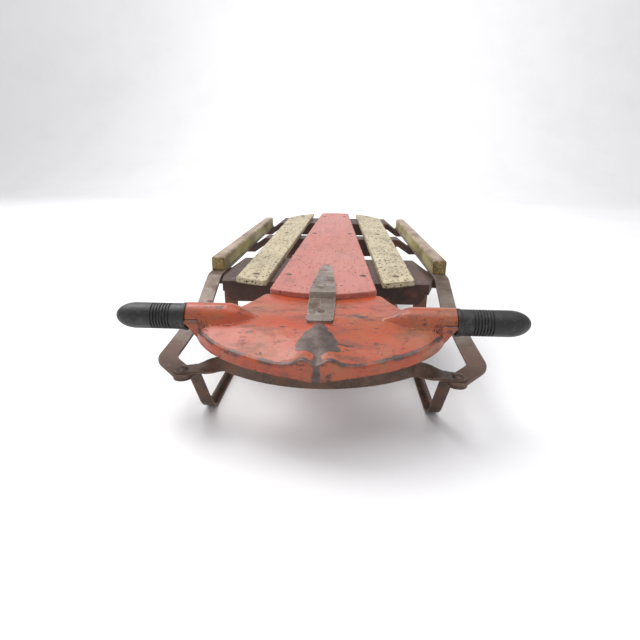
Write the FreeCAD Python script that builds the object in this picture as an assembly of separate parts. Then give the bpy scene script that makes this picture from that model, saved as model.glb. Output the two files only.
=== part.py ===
"""Steel and wood steering sled: slatted deck, three pressed benches, two runners,
side rails on steel straps, and a pressed steering nose that flexes the front bow.

Frame: millimetres, +Z up, -Y is the nose (front), X across the sled.
The origin is on the ground below the middle of the bounding box.
"""
import FreeCAD, Part
import math
import os

V = FreeCAD.Vector

# ---------------------------------------------------------------- driving sizes
# Most places are tied to the deck: its front edge, rear edge and top.
# deck
deck_front_y = -429.0          # middle of the centre board's front edge
deck_rear_y = 580.0            # middle of the centre board's rear edge
deck_top_z = 159.0
board_thickness = 8.0
board_crown = 22.0             # how far the front edge bows forward
board_half_front = 74.0
board_half_rear = 44.0
slat_inner_front = 85.7
slat_outer_front = 135.2
slat_inner_rear = 69.1
slat_outer_rear = 140.5
slat_front_inner_y = deck_front_y + 62.0
slat_front_outer_y = deck_front_y + 84.0
tail_half_width = 150.0        # the tail of the deck is cut to one half ellipse
tail_length = 235.0
board_corner_r = 5.0
board_edge_r = 1.5
deck_low_z = deck_top_z - board_thickness
sky_z = deck_top_z + 60.0      # above every piece, for cutters that go right through

# benches (pressed steel cross-members); rivet rows, and the pads under the rails
bench_y = {"front": deck_front_y + 107.0, "middle": 112.0, "rear": deck_rear_y - 103.0}
pad_y = {"front": deck_front_y + 239.0, "middle": 112.0, "rear": deck_rear_y - 182.0}
bench_depth = {"front": 32.0, "middle": 40.0, "rear": 34.0}
bench_half_width = 17.0        # from the rivet row to the nearer long edge
middle_bench_reach = 34.0      # from the rivet row to the middle bench's front edge
bench_sheet = 2.5
wing_depth = 16.0
wing_pad_half = 32.0
skirt_corner_r = 14.0
wing_step = 10.0
knee_top_z = deck_low_z - bench_sheet

# runners (inverted T section)
runner_x = 152.0
foot_width = 16.0
foot_thickness = 3.0
web_thickness = 3.0
web_height = 10.0
runner_toe_y = deck_front_y - 39.0    # the ground line and the rising line meet here
runner_tail_y = deck_rear_y - 42.0
runner_toe_r = 32.0
runner_tail_r = 60.0
runner_tail_rise = 26.0
runner_tail_run = 40.0
tab_thickness = 4.0
tab_r = 11.5
leg_inset_x = 9.0              # the rising leg meets the tab inboard of and behind the rivet
leg_inset_y = 12.0

# side straps and rails
strap_x = runner_x + 48.0
strap_width = 25.0
strap_thickness = 4.0
strap_rail_z = deck_low_z - 19.7      # underside of the strap where it carries the rail
strap_bend_y = deck_front_y + 203.0   # the strap starts to slope down here
strap_knee_y = deck_front_y + 133.0
strap_knee_z = strap_rail_z - 31.3
strap_flat_y = deck_front_y - 49.0
strap_front_z = strap_rail_z - 51.3
strap_corner_y = deck_front_y - 53.0  # where the strap turns in towards the corner rivet
strap_bend_r = 20.0
rail_x = strap_x + 1.0
rail_width = 24.0
rail_height = 24.7
rail_front_y = pad_y["front"] - 10.0
rail_rear_y = pad_y["rear"] + 28.0
strap_rear_y = rail_rear_y + 8.0
rail_edge_r = 4.0
rail_end_r = 9.0
bench_half_length = runner_x
wing_root_x = runner_x - 34.0
wing_flat_x = runner_x + 6.0
wing_pad_x = strap_x - 14.0
wing_end_x = strap_x + 11.0

# knees (angle iron legs between bench and runner)
knee_width = 20.0
knee_depth = 18.0
knee_sheet = 3.0
knee_foot_gap = 0.3

# front bow
corner_x = strap_x - 35.0
corner_y = deck_front_y - 93.0
bow_thickness = 4.0
bow_width = 18.0
bow_front_y = corner_y - 33.0
bow_side_x = corner_x - 53.0
bow_side_y = corner_y + 5.0
bow_mid_z = strap_front_z + 13.0
bow_end_half = 10.0
bracket_thickness = 3.0
bracket_half = 13.0

# steering nose
pivot_y = deck_front_y - 46.0
grip_y = pivot_y - 19.0
nose_plate_z = deck_low_z - 1.5
grip_z = nose_plate_z - 4.1
nose_sheet = 2.0
nose_tip_y = pivot_y - 105.0
nose_back_y = pivot_y + 62.0
nose_arm_r = 15.0
nose_arm_end_x = 166.0
nose_arm_root_x = 98.0
core_inner_x = 104.0
core_grip_r = 9.0
grip_r = 16.0
grip_inner_x = 162.0
grip_tip_x = 250.5
grip_flare_r = 17.0
grip_tip_length = 26.0
grip_groove_depth = 1.4
grip_groove_pitch = 3.6
grip_grooves = 7
stud_y = pivot_y - 63.0
stud_r = 4.0
stud_side_clearance = 0.3
link_plate_z = nose_plate_z - 23.5
link_plate_thickness = 3.0
link_half_width = 15.0
bush_r = 9.0
pivot_r = 5.0
running_clearance = 0.06
end_clearance = 0.3

# tongue
tongue_thickness = 3.0
tang_half = 6.5
tongue_low_z = nose_plate_z + 1.5
tongue_rear_y = deck_front_y + 171.0
tongue_front_y = pivot_y - 31.0
tongue_half = [(tongue_rear_y, 6.5), (tongue_rear_y - 30.0, 9.5), (tongue_rear_y - 84.0, 12.5),
               (deck_front_y - 7.0, 17.5), (tongue_front_y, 16.0)]

# fasteners
rivet_r = 2.5
rivet_head_r = 6.0
rivet_head_h = 1.6
small_rivet_r = 2.0
small_head_r = 3.6
small_head_h = 1.4
screw_r = 3.0
screw_depth = 16.0
corner_rivet_r = 4.0
corner_head_r = 7.5
corner_head_h = 3.2
rivet_row_x = {"front": (57.9, 108.4), "middle": (42.8, 110.2), "rear": (31.6, 101.9)}

os.makedirs("parts", exist_ok=True)


# ---------------------------------------------------------------- small helpers
def box(x0, x1, y0, y1, z0, z1):
    """Block between two corners."""
    return Part.makeBox(x1 - x0, y1 - y0, z1 - z0, V(x0, y0, z0))


def rod(radius, start, direction, length):
    """Round bar from a start point."""
    return Part.makeCylinder(radius, length, V(*start), V(*direction))


def outline_face(points):
    """Flat face from plan points."""
    corners = [V(x, y, 0) for x, y in points]
    return Part.Face(Part.makePolygon(corners + corners[:1]))


def prism(face, z0, z1):
    """A plan face raised between two heights."""
    raised = face.copy()
    raised.translate(V(0, 0, z0))
    return raised.extrude(V(0, 0, z1 - z0))


def side_band(points, x0, x1):
    """A shape drawn in the Y-Z plane, drawn out along X."""
    corners = [V(x0, y, z) for y, z in points]
    face = Part.Face(Part.makePolygon(corners + corners[:1]))
    return face.extrude(V(x1 - x0, 0, 0))


def mirrored(shape):
    """The left-hand twin of a right-hand piece."""
    return shape.mirror(V(0, 0, 0), V(1, 0, 0))


def fuse_all(shapes):
    """One solid from touching shapes."""
    whole = shapes[0].multiFuse(shapes[1:]) if len(shapes) > 1 else shapes[0]
    return whole.removeSplitter()


def vertical_edges(shape, test):
    """Edges that run along Z and whose middle passes a test."""
    found = []
    for edge in shape.Edges:
        direction = edge.Vertexes[-1].Point - edge.Vertexes[0].Point
        if direction.Length < 1e-6:
            continue
        if abs(direction.z) / direction.Length > 0.999 and test(edge.CenterOfMass):
            found.append(edge)
    return found


def flat_edges_at(shape, z):
    """Edges that lie wholly at one height."""
    return [e for e in shape.Edges if all(abs(v.Z - z) < 1e-4 for v in e.Vertexes)]


def smooth(t):
    """Smooth step from 0 to 1."""
    t = min(max(t, 0.0), 1.0)
    return t * t * (3.0 - 2.0 * t)


def save(name, solids):
    """Write one node; a list of solids becomes a group of separate pieces."""
    solids = solids if isinstance(solids, list) else [solids]
    shape = solids[0] if len(solids) == 1 else Part.makeCompound(solids)
    shape.exportStep("parts/" + name + ".step")
    print(name, len(shape.Solids), "solid", round(shape.Volume / 1000.0, 2), "cm3")


# ---------------------------------------------------------------- deck boards
def tail_y(x):
    """Rear edge of the deck at a distance from the centre line."""
    centre = deck_rear_y - tail_length
    return centre + tail_length * math.sqrt(1.0 - (x / tail_half_width) ** 2)


def board(front, rear):
    """A flat board from its front and rear end curves, each of three plan points."""
    f = [V(x, y, 0) for x, y in front]
    r = [V(x, y, 0) for x, y in rear]
    wire = Part.Wire([
        Part.Arc(f[0], f[1], f[2]).toShape(),
        Part.LineSegment(f[2], r[2]).toShape(),
        Part.Arc(r[2], r[1], r[0]).toShape(),
        Part.LineSegment(r[0], f[0]).toShape(),
    ])
    plank = prism(Part.Face(wire), deck_low_z, deck_top_z)
    plank = plank.makeFillet(board_corner_r, vertical_edges(plank, lambda c: True))
    return plank.makeFillet(board_edge_r, flat_edges_at(plank, deck_top_z))


def rivet_points(row):
    """The four rivet places of one row, from left to right."""
    near, far = rivet_row_x[row]
    return [(x, bench_y[row]) for x in (-far, -near, near, far)]


def deck_holes():
    """Every rivet hole through deck and benches."""
    return [rod(rivet_r, (x, y, 0), (0, 0, 1), sky_z) for row in bench_y for x, y in rivet_points(row)]


def centre_board():
    """The tapered middle board."""
    front_y = deck_front_y + board_crown
    front = [(-board_half_front, front_y), (0, deck_front_y), (board_half_front, front_y)]
    rear_y = tail_y(board_half_rear)
    rear = [(-board_half_rear, rear_y), (0, deck_rear_y), (board_half_rear, rear_y)]
    plank = board(front, rear)
    for y, _ in tongue_rivet_places():
        plank = plank.cut(rod(rivet_r, (0, y, 0), (0, 0, 1), sky_z))
    return plank.cut(Part.makeCompound(deck_holes()))


def right_slat():
    """An outer slat: narrow at the front, wide at the tail."""
    mid_x = (slat_inner_front + slat_outer_front) / 2
    mid_y = (slat_front_inner_y + slat_front_outer_y) / 2 - 2.0
    front = [(slat_inner_front, slat_front_inner_y), (mid_x, mid_y), (slat_outer_front, slat_front_outer_y)]
    tail_mid = (slat_inner_rear + slat_outer_rear) / 2
    rear = [(x, tail_y(x)) for x in (slat_inner_rear, tail_mid, slat_outer_rear)]
    return board(front, rear).cut(Part.makeCompound(deck_holes()))


def deck_rivets(row):
    """Dome-headed rivets through the boards and a bench, closed below the sheet."""
    pieces = []
    for x, y in rivet_points(row):
        pieces.append(rivet(x, y, deck_low_z - bench_sheet, deck_top_z))
    return pieces


def rivet(x, y, low_z, high_z):
    """One upright rivet clamping everything between two heights."""
    shank = rod(rivet_r, (x, y, low_z), (0, 0, 1), high_z - low_z)
    top = dome(x, y, high_z, rivet_head_r, rivet_head_h, 1)
    bottom = dome(x, y, low_z, rivet_head_r - 1.5, rivet_head_h, -1)
    return fuse_all([shank, top, bottom])


def dome(x, y, z, radius, height, way):
    """A low round head standing on height z, upwards or downwards."""
    ball_r = (radius * radius + height * height) / (2 * height)
    ball = Part.makeSphere(ball_r, V(x, y, z + way * (height - ball_r)))
    low = z if way > 0 else z - height
    return ball.common(rod(radius + 1, (x, y, low), (0, 0, 1), height))


# ---------------------------------------------------------------- benches
def bench_edges(row):
    """Front and rear edge of a bench: the end benches reach in to the pads under the rails."""
    yb = bench_y[row]
    if row == "front":
        return yb - bench_half_width, pad_y[row] + wing_pad_half
    if row == "rear":
        return pad_y[row] - wing_pad_half, yb + bench_half_width
    return yb - middle_bench_reach, yb + bench_half_width


def wing_outline(row):
    """Plan of a right-hand wing: from the bench end out to the pad under the rail."""
    front_y, rear_y = bench_edges(row)
    if row == "front":
        pad_front = pad_y[row] - wing_pad_half
        return [(wing_root_x, front_y), (wing_flat_x, front_y), (wing_pad_x, pad_front),
                (wing_end_x, pad_front), (wing_end_x, rear_y), (wing_root_x, rear_y)]
    if row == "rear":
        pad_rear = pad_y[row] + wing_pad_half
        return [(wing_root_x, front_y), (wing_end_x, front_y), (wing_end_x, pad_rear), (wing_pad_x, pad_rear),
                (wing_flat_x, rear_y), (wing_root_x, rear_y)]
    return [(wing_root_x, front_y), (wing_flat_x, front_y), (wing_pad_x, front_y + wing_step),
            (wing_end_x, front_y + wing_step), (wing_end_x, rear_y), (wing_root_x, rear_y)]


def wing_layer(face, top_drop, depth):
    """The wing's plan between its sloping top and a depth below it."""
    pad_top = strap_rail_z - top_drop
    root_top = deck_low_z - top_drop
    high = [(wing_root_x - 5, root_top), (wing_flat_x, root_top), (wing_pad_x, pad_top),
            (wing_end_x + 5, pad_top)]
    low = [(x, z - depth) for x, z in reversed(high)]
    corners = [V(x, 2 * deck_front_y, z) for x, z in high + low]
    reach = V(0, 2 * (deck_rear_y - deck_front_y), 0)
    band = Part.Face(Part.makePolygon(corners + corners[:1])).extrude(reach)
    return prism(face, 0, sky_z).common(band)


def skirt_cut(y0, y1, depth):
    """Rounds the lower corners of the bench skirts at both ends."""
    r = skirt_corner_r
    low = deck_low_z - depth
    x = bench_half_length
    corner = box(x - r, x + 1, y0, y1, low - 1, low + r)
    corner = corner.cut(rod(r, (x - r, y0 - 1, low + r), (0, 1, 0), y1 - y0 + 2))
    return [corner, mirrored(corner)]


def bench(row):
    """A pressed channel with a wing at each end that reaches out under the rail."""
    yb = bench_y[row]
    depth = bench_depth[row]
    front_y, rear_y = bench_edges(row)
    half = bench_half_length
    outer = [box(-half, half, front_y, rear_y, deck_low_z - depth, deck_low_z)]
    inner = [box(-wing_flat_x, wing_flat_x, front_y + bench_sheet, rear_y - bench_sheet,
                 deck_low_z - depth - 1, knee_top_z)]
    plan = outline_face(wing_outline(row))
    inset = plan.makeOffset2D(-bench_sheet)
    wing = wing_layer(plan, 0, wing_depth)
    hollow = wing_layer(inset, bench_sheet, wing_depth + 20)
    pad_bolt = rod(screw_r + 0.05, (strap_x, pad_y[row], 0), (0, 0, 1), sky_z)
    outer += [wing, mirrored(wing)]
    inner += [hollow, mirrored(hollow), pad_bolt, mirrored(pad_bolt)]
    inner += skirt_cut(front_y - 1, rear_y + 1, depth)
    body = fuse_all(outer).cut(Part.makeCompound(inner))
    holes = deck_holes() + [rod(rivet_r, (s * knee_rivet_x, yb, 0), (0, 0, 1), sky_z) for s in (-1, 1)]
    holes += [rod(rivet_r, (0, y, 0), (0, 0, 1), sky_z) for y, _ in tongue_rivet_places()]
    return body.cut(Part.makeCompound(holes))


# ---------------------------------------------------------------- knees
knee_outer_x = runner_x + web_thickness / 2 + knee_sheet
knee_rivet_x = knee_outer_x - 12.0
foot_rivet_z = foot_thickness + 6.0


def knee(row):
    """Right-hand leg: an angle iron from the bench down to the runner's web."""
    yb = bench_y[row]
    x1 = knee_outer_x
    x0 = x1 - knee_width
    y0 = yb - bench_half_width + bench_sheet
    y1 = y0 + knee_depth
    web_top = foot_thickness + web_height
    face = box(x0, x1, y0, y0 + knee_sheet, web_top + 3, knee_top_z)
    side = box(x1 - knee_sheet, x1, y0, y1, foot_thickness + knee_foot_gap, knee_top_z)
    top = box(x0, x1, y0, y1, knee_top_z - knee_sheet, knee_top_z)
    leg = fuse_all([face, side, top])
    leg = leg.cut(rod(rivet_r, (knee_rivet_x, yb, 0), (0, 0, 1), sky_z))
    for y in foot_rivet_ys(row):
        leg = leg.cut(rod(small_rivet_r, (x1 - 20, y, foot_rivet_z), (1, 0, 0), 40))
    return leg


def foot_rivet_ys(row):
    """Two rivets along the runner's web at each knee."""
    y0 = bench_y[row] - bench_half_width + bench_sheet
    return (y0 + 5.0, y0 + knee_depth - 4.5)


def knee_rivets(row):
    """Rivets that hold one pair of knees to the bench and to the runners."""
    pieces = []
    yb = bench_y[row]
    inner_x = runner_x - web_thickness / 2
    for y in foot_rivet_ys(row):
        shank = rod(small_rivet_r, (inner_x, y, foot_rivet_z), (1, 0, 0), knee_outer_x - inner_x)
        inner = rod(small_head_r, (inner_x - small_head_h, y, foot_rivet_z), (1, 0, 0), small_head_h)
        outer = rod(small_head_r, (knee_outer_x, y, foot_rivet_z), (1, 0, 0), small_head_h)
        pieces.append(fuse_all([shank, inner, outer]))
    low = knee_top_z - knee_sheet
    shank = rod(rivet_r, (knee_rivet_x, yb, low), (0, 0, 1), deck_low_z - low)
    foot = rod(small_head_r + 1, (knee_rivet_x, yb, low - small_head_h), (0, 0, 1), small_head_h)
    pieces.append(fuse_all([shank, foot]))
    return pieces + [mirrored(p) for p in pieces]


# ---------------------------------------------------------------- runners
def arc_corner(a, b, c, radius):
    """Start and end of a tangent arc that rounds the corner b of the path a-b-c."""
    u = (a - b).normalize()
    w = (c - b).normalize()
    half = u.getAngle(w) / 2
    reach = radius / math.tan(half)
    middle = (u + w).normalize()
    centre = b + middle * (radius / math.sin(half))
    return b + u * reach, centre - middle * radius, b + w * reach


def rounded_path(points, radii):
    """Straight runs joined by tangent arcs."""
    edges = []
    start = points[0]
    for k in range(1, len(points) - 1):
        p, q, r = arc_corner(points[k - 1], points[k], points[k + 1], radii[k - 1])
        edges.append(Part.LineSegment(start, p).toShape())
        edges.append(Part.Arc(p, q, r).toShape())
        start = r
    edges.append(Part.LineSegment(start, points[-1]).toShape())
    return Part.Wire(edges)


def runner():
    """Right-hand runner: an inverted T bar, turned up at both ends."""
    tab_low = strap_front_z - tab_thickness
    tail = V(runner_x, runner_tail_y + runner_tail_run, runner_tail_rise)
    heel = V(runner_x, runner_tail_y, 0)
    toe = V(runner_x, runner_toe_y, 0)
    top = V(corner_x - leg_inset_x, corner_y + leg_inset_y, tab_low + 2)
    path = rounded_path([tail, heel, toe, top], [runner_tail_r, runner_toe_r])
    half_foot = foot_width / 2
    half_web = web_thickness / 2
    section = [(-half_foot, 0), (half_foot, 0), (half_foot, foot_thickness), (half_web, foot_thickness),
               (half_web, foot_thickness + web_height), (-half_web, foot_thickness + web_height),
               (-half_web, foot_thickness), (-half_foot, foot_thickness)]
    start_dir = (heel - tail).normalize()
    normal = V(0, -start_dir.z, start_dir.y).normalize()
    if normal.z < 0:
        normal = normal * -1
    corners = [tail + V(1, 0, 0) * x + normal * z for x, z in section]
    profile = Part.makePolygon(corners + corners[:1])
    bar = path.makePipeShell([profile], True, False)
    bar = bar.cut(box(0, 2 * corner_x, corner_y - 60, corner_y + 60, tab_low, tab_low + 60))
    tab = rod(tab_r, (corner_x, corner_y, tab_low), (0, 0, 1), tab_thickness)
    neck_x0 = corner_x - leg_inset_x - half_foot
    neck = box(neck_x0, neck_x0 + foot_width + 3, corner_y - 4, corner_y + leg_inset_y + 8,
               tab_low, tab_low + tab_thickness)
    whole = fuse_all([bar, tab, neck])
    whole = whole.cut(rod(corner_rivet_r + 0.1, (corner_x, corner_y, 0), (0, 0, 1), sky_z))
    for row in bench_y:
        for y in foot_rivet_ys(row):
            whole = whole.cut(rod(small_rivet_r, (runner_x - 10, y, foot_rivet_z), (1, 0, 0), 20))
    return whole


# ---------------------------------------------------------------- straps and rails
def strap():
    """Right-hand side strap: flat bar under the rail, sloping down to the front corner."""
    half = strap_width / 2
    rear = V(strap_x, strap_rear_y, 0)
    turn = V(strap_x, strap_corner_y, 0)
    end = V(corner_x, corner_y, 0)
    along = (end - turn).normalize()
    side = V(-along.y, along.x, 0)
    if side.x < 0:
        side = side * -1
    mitre = (side + V(1, 0, 0)).normalize() * (half / math.cos(side.getAngle(V(1, 0, 0)) / 2))
    outer_turn = turn + mitre
    inner_turn = turn - mitre
    o = arc_corner(rear + V(half, 0, 0), outer_turn, end + side * half, strap_bend_r + half)
    n = arc_corner(rear - V(half, 0, 0), inner_turn, end - side * half, strap_bend_r - half)
    plan = Part.Face(Part.Wire([
        Part.LineSegment(rear - V(half, 0, 0), rear + V(half, 0, 0)).toShape(),
        Part.LineSegment(rear + V(half, 0, 0), o[0]).toShape(),
        Part.Arc(*o).toShape(),
        Part.LineSegment(o[2], end + side * half).toShape(),
        Part.Arc(end + side * half, end + along * half, end - side * half).toShape(),
        Part.LineSegment(end - side * half, n[2]).toShape(),
        Part.Arc(n[2], n[1], n[0]).toShape(),
        Part.LineSegment(n[0], rear - V(half, 0, 0)).toShape(),
    ]))
    low = [(strap_rear_y + 1, strap_rail_z), (strap_bend_y, strap_rail_z), (strap_knee_y, strap_knee_z),
           (strap_flat_y, strap_front_z), (corner_y - 40, strap_front_z)]
    high = [(y, z + strap_thickness) for y, z in reversed(low)]
    bar = prism(plan, 0, sky_z).common(side_band(low + high, 0, 2 * strap_x))
    bar = bar.makeFillet(half - 2, vertical_edges(bar, lambda c: c.y > strap_rear_y - 1))
    bar = bar.cut(rod(corner_rivet_r + 0.1, (corner_x, corner_y, 0), (0, 0, 1), sky_z))
    for row in bench_y:
        bar = bar.cut(rod(screw_r + 0.05, (strap_x, pad_y[row], 0), (0, 0, 1), sky_z))
    return bar


def rail():
    """Right-hand rail: square hardwood with eased edges and a rounded tail end."""
    low = strap_rail_z + strap_thickness
    half = rail_width / 2
    bar = box(rail_x - half, rail_x + half, rail_front_y, rail_rear_y, low, low + rail_height)
    bar = bar.makeFillet(rail_end_r, vertical_edges(bar, lambda c: c.y > 0))
    bar = bar.makeFillet(2.5, vertical_edges(bar, lambda c: c.y < rail_front_y + 1))
    bar = bar.makeFillet(rail_edge_r, flat_edges_at(bar, low + rail_height))
    for row in bench_y:
        bar = bar.cut(rod(screw_r, (strap_x, pad_y[row], 0), (0, 0, 1), low + screw_depth))
    return bar


def rail_screws():
    """Round-head screws from below, through wing and strap, into a rail."""
    low = strap_rail_z - bench_sheet
    pieces = []
    for row in bench_y:
        y = pad_y[row]
        shank = rod(screw_r, (strap_x, y, low), (0, 0, 1), strap_rail_z + strap_thickness + screw_depth - low)
        pieces.append(fuse_all([shank, dome(strap_x, y, low, 2 * screw_r, 0.8 * screw_r, -1)]))
    return pieces


# ---------------------------------------------------------------- front bow
def strip_section(centre, heading, roll, width, thickness):
    """Rectangle across a strip: roll 0 stands on edge, roll 90 lies flat."""
    along = V(math.cos(heading), math.sin(heading), 0)
    across = V(-along.y, along.x, 0)
    up = V(0, 0, 1)
    c = math.cos(math.radians(roll))
    s = math.sin(math.radians(roll))
    wide = up * c + across * s
    thin = across * c - up * s
    p = V(*centre)
    signs = ((1, 1), (1, -1), (-1, -1), (-1, 1))
    corners = [p + wide * (i * width / 2) + thin * (j * thickness / 2) for i, j in signs]
    return Part.makePolygon(corners + corners[:1])


def bow_radius():
    """Plan radius of the bow's middle stretch."""
    sag = bow_side_y - bow_front_y
    return (bow_side_x ** 2 + sag ** 2) / (2 * sag)


def front_bow():
    """Flat bar on edge across the front, its ends twisted flat onto the straps."""
    radius = bow_radius()
    centre_y = bow_front_y + radius
    low = bow_mid_z - bow_width / 2
    half_t = bow_thickness / 2
    ring = rod(radius + half_t, (0, centre_y, low), (0, 0, 1), bow_width)
    ring = ring.cut(rod(radius - half_t, (0, centre_y, low - 1), (0, 0, 1), bow_width + 2))
    start = math.asin(bow_side_x / radius)
    far_x = 3 * radius * math.sin(start)
    far_y = centre_y - 3 * radius * math.cos(start)
    wedge = outline_face([(0, centre_y), (-far_x, far_y), (far_x, far_y)])
    middle = ring.common(prism(wedge, low, low + bow_width))
    end_z = strap_front_z + strap_thickness + bow_thickness / 2
    flat_x = corner_x - 15
    steps = 10
    sections = []
    p0 = V(bow_side_x, bow_side_y, bow_mid_z)
    t0 = V(math.cos(start), math.sin(start), 0) * 26
    p1 = V(flat_x, corner_y + 4, end_z)
    t1 = V(math.cos(-0.26), math.sin(-0.26), 0) * 30
    for k in range(steps + 1):
        u = k / steps
        h = [2 * u ** 3 - 3 * u ** 2 + 1, u ** 3 - 2 * u ** 2 + u, -2 * u ** 3 + 3 * u ** 2, u ** 3 - u ** 2]
        g = [6 * u ** 2 - 6 * u, 3 * u ** 2 - 4 * u + 1, -6 * u ** 2 + 6 * u, 3 * u ** 2 - 2 * u]
        p = p0 * h[0] + t0 * h[1] + p1 * h[2] + t1 * h[3]
        d = p0 * g[0] + t0 * g[1] + p1 * g[2] + t1 * g[3]
        heading = math.atan2(d.y, d.x)
        width = bow_width + (2 * bow_end_half - bow_width) * u
        sections.append(strip_section((p.x, p.y, p.z), heading, 90 * smooth(u), width, bow_thickness))
    twist = Part.makeLoft(sections, True, True)
    low_end = end_z - bow_thickness / 2
    heading = V(math.cos(-0.26), math.sin(-0.26), 0)
    side = V(-heading.y, heading.x, 0) * bow_end_half
    flat_start = V(flat_x, corner_y + 4, 0)
    tip = V(corner_x, corner_y, 0)
    ear_corners = (flat_start - side, tip - side, tip + side, flat_start + side)
    ear_face = outline_face([(q.x, q.y) for q in ear_corners])
    ear = prism(ear_face, low_end, low_end + bow_thickness)
    ear = ear.fuse(rod(bow_end_half, (corner_x, corner_y, low_end), (0, 0, 1), bow_thickness))
    ear = ear.cut(rod(corner_rivet_r, (corner_x, corner_y, 0), (0, 0, 1), sky_z))
    right = fuse_all([twist, ear])
    return fuse_all([middle, right, mirrored(right)])


def bow_bracket():
    """Slotted lug behind the bow that the drive stud works in."""
    low = bow_mid_z - bracket_thickness / 2
    back = stud_y + 12
    front = bow_front_y + bow_thickness / 2
    lug = box(-bracket_half, bracket_half, front, back, low, low + bracket_thickness)
    lug = lug.makeFillet(8.0, vertical_edges(lug, lambda c: c.y > back - 1))
    ring_r = bow_radius() - bow_thickness / 2
    lug = lug.fuse(box(-bracket_half, bracket_half, front - 3, front + 0.5, low, low + bracket_thickness))
    lug = lug.common(rod(ring_r, (0, bow_front_y + bow_radius(), low), (0, 0, 1), bracket_thickness))
    slot_half = stud_r + stud_side_clearance
    slot = box(-slot_half, slot_half, stud_y - 3, stud_y + 3, low - 1, low + 10)
    slot = slot.fuse(rod(slot_half, (0, stud_y - 3, low - 1), (0, 0, 1), 12))
    slot = slot.fuse(rod(slot_half, (0, stud_y + 3, low - 1), (0, 0, 1), 12))
    return lug.cut(slot).removeSplitter()


def corner_rivets():
    """Large rivets that join bow, strap and runner at the front corners."""
    low = strap_front_z - tab_thickness
    high = strap_front_z + strap_thickness + bow_thickness
    shank = rod(corner_rivet_r, (corner_x, corner_y, low), (0, 0, 1), high - low)
    top = dome(corner_x, corner_y, high, corner_head_r, corner_head_h, 1)
    bottom = dome(corner_x, corner_y, low, corner_head_r - 0.5, corner_head_h, -1)
    right = fuse_all([shank, top, bottom])
    return [right, mirrored(right)]


# ---------------------------------------------------------------- steering nose
handle_pin_xs = (118.0, 150.0)
link_rivet_places = [(s * 9.0, pivot_y + 20.0) for s in (-1, 1)]
grip_bore_end_x = grip_tip_x - 18.0

# plan of the nose, from its outer end in to the tip, and along its back from the straight edge out
nose_front = [(x, nose_tip_y + y) for x, y in
              ((158, 94.0), (153, 80.0), (138, 60.0), (120, 43.0), (85, 25.0), (40, 9.0), (0, 0.0))]
nose_back = [(x, nose_back_y + y) for x, y in
             ((77, 0.0), (89, -25.0), (106, -55.0), (122, -66.0), (142, -69.0))]


def spline_edge(points):
    """A smooth edge through plan points."""
    curve = Part.BSplineCurve()
    curve.interpolate([V(x, y, 0) for x, y in points])
    return curve.toShape()


def nose_plan(inset):
    """Plan of the nose sheet, drawn in by an inset along the flanged front edge."""
    widest = nose_front[0][0]
    shrink = 1.0 - inset / widest
    front = [(x * shrink, y + inset * (1.0 - 0.7 * x / widest)) for x, y in nose_front]
    left_front = [(-x, y) for x, y in reversed(front)]
    left_back = [(-x, y) for x, y in nose_back]
    a = nose_back[-1]
    b = front[0]
    edges = [
        Part.LineSegment(V(-nose_back[0][0], nose_back_y, 0), V(nose_back[0][0], nose_back_y, 0)).toShape(),
        spline_edge(nose_back),
        Part.LineSegment(V(a[0], a[1], 0), V(b[0], b[1], 0)).toShape(),
        spline_edge(front),
        spline_edge(left_front),
        Part.LineSegment(V(-b[0], b[1], 0), V(-a[0], a[1], 0)).toShape(),
        spline_edge(list(reversed(left_back))),
    ]
    return Part.Face(Part.Wire(edges))


def front_edge_y(x):
    """Front outline of the nose at a distance from its centre line."""
    x = abs(x)
    points = list(reversed(nose_front))
    for (x0, y0), (x1, y1) in zip(points, points[1:]):
        if x <= x1:
            return y0 + (y1 - y0) * (x - x0) / (x1 - x0)
    return points[-1][1]


def nose_rim_z(x):
    """Height of the bend above the flange: low lobes beside a raised centre ridge."""
    x = abs(x)
    outer = 11.0 * smooth((x - 45.0) / 90.0)
    ridge = 8.0 * math.exp(-((x - 13.0) / 10.0) ** 2)
    return nose_plate_z - 31.5 + outer + ridge


def nose_low_z(x):
    """Lower edge of the flange."""
    x = abs(x)
    return nose_plate_z - 45.5 + 8.0 * smooth(x / 115.0) + 12.0 * smooth((x - 118.0) / 34.0)


def nose_top_z(x, y):
    """Top of the sheet: level at the back, falling and curling over to the front rim."""
    start = grip_y - 8.0
    edge = front_edge_y(x)
    t = (start - y) / max(start - edge, 8.0)
    t = min(max(t, 0.0), 1.15)
    fall = nose_plate_z - nose_rim_z(x)
    return nose_plate_z - fall * (0.35 * t + 0.65 * t * t)


def height_surface(function, columns, rows):
    """A smooth surface through a grid of heights over the whole nose."""
    half = nose_front[0][0] + 12.0
    y0 = nose_tip_y - 10.0
    y1 = nose_back_y + 14.0
    ys = [y0 + (y1 - y0) * j / (rows - 1) for j in range(rows)]
    grid = []
    for i in range(columns):
        x = half * (2.0 * i / (columns - 1) - 1.0)
        grid.append([V(x, y, function(x, y)) for y in ys])
    surface = Part.BSplineSurface()
    surface.interpolate(grid)
    return surface.toShape()


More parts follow.
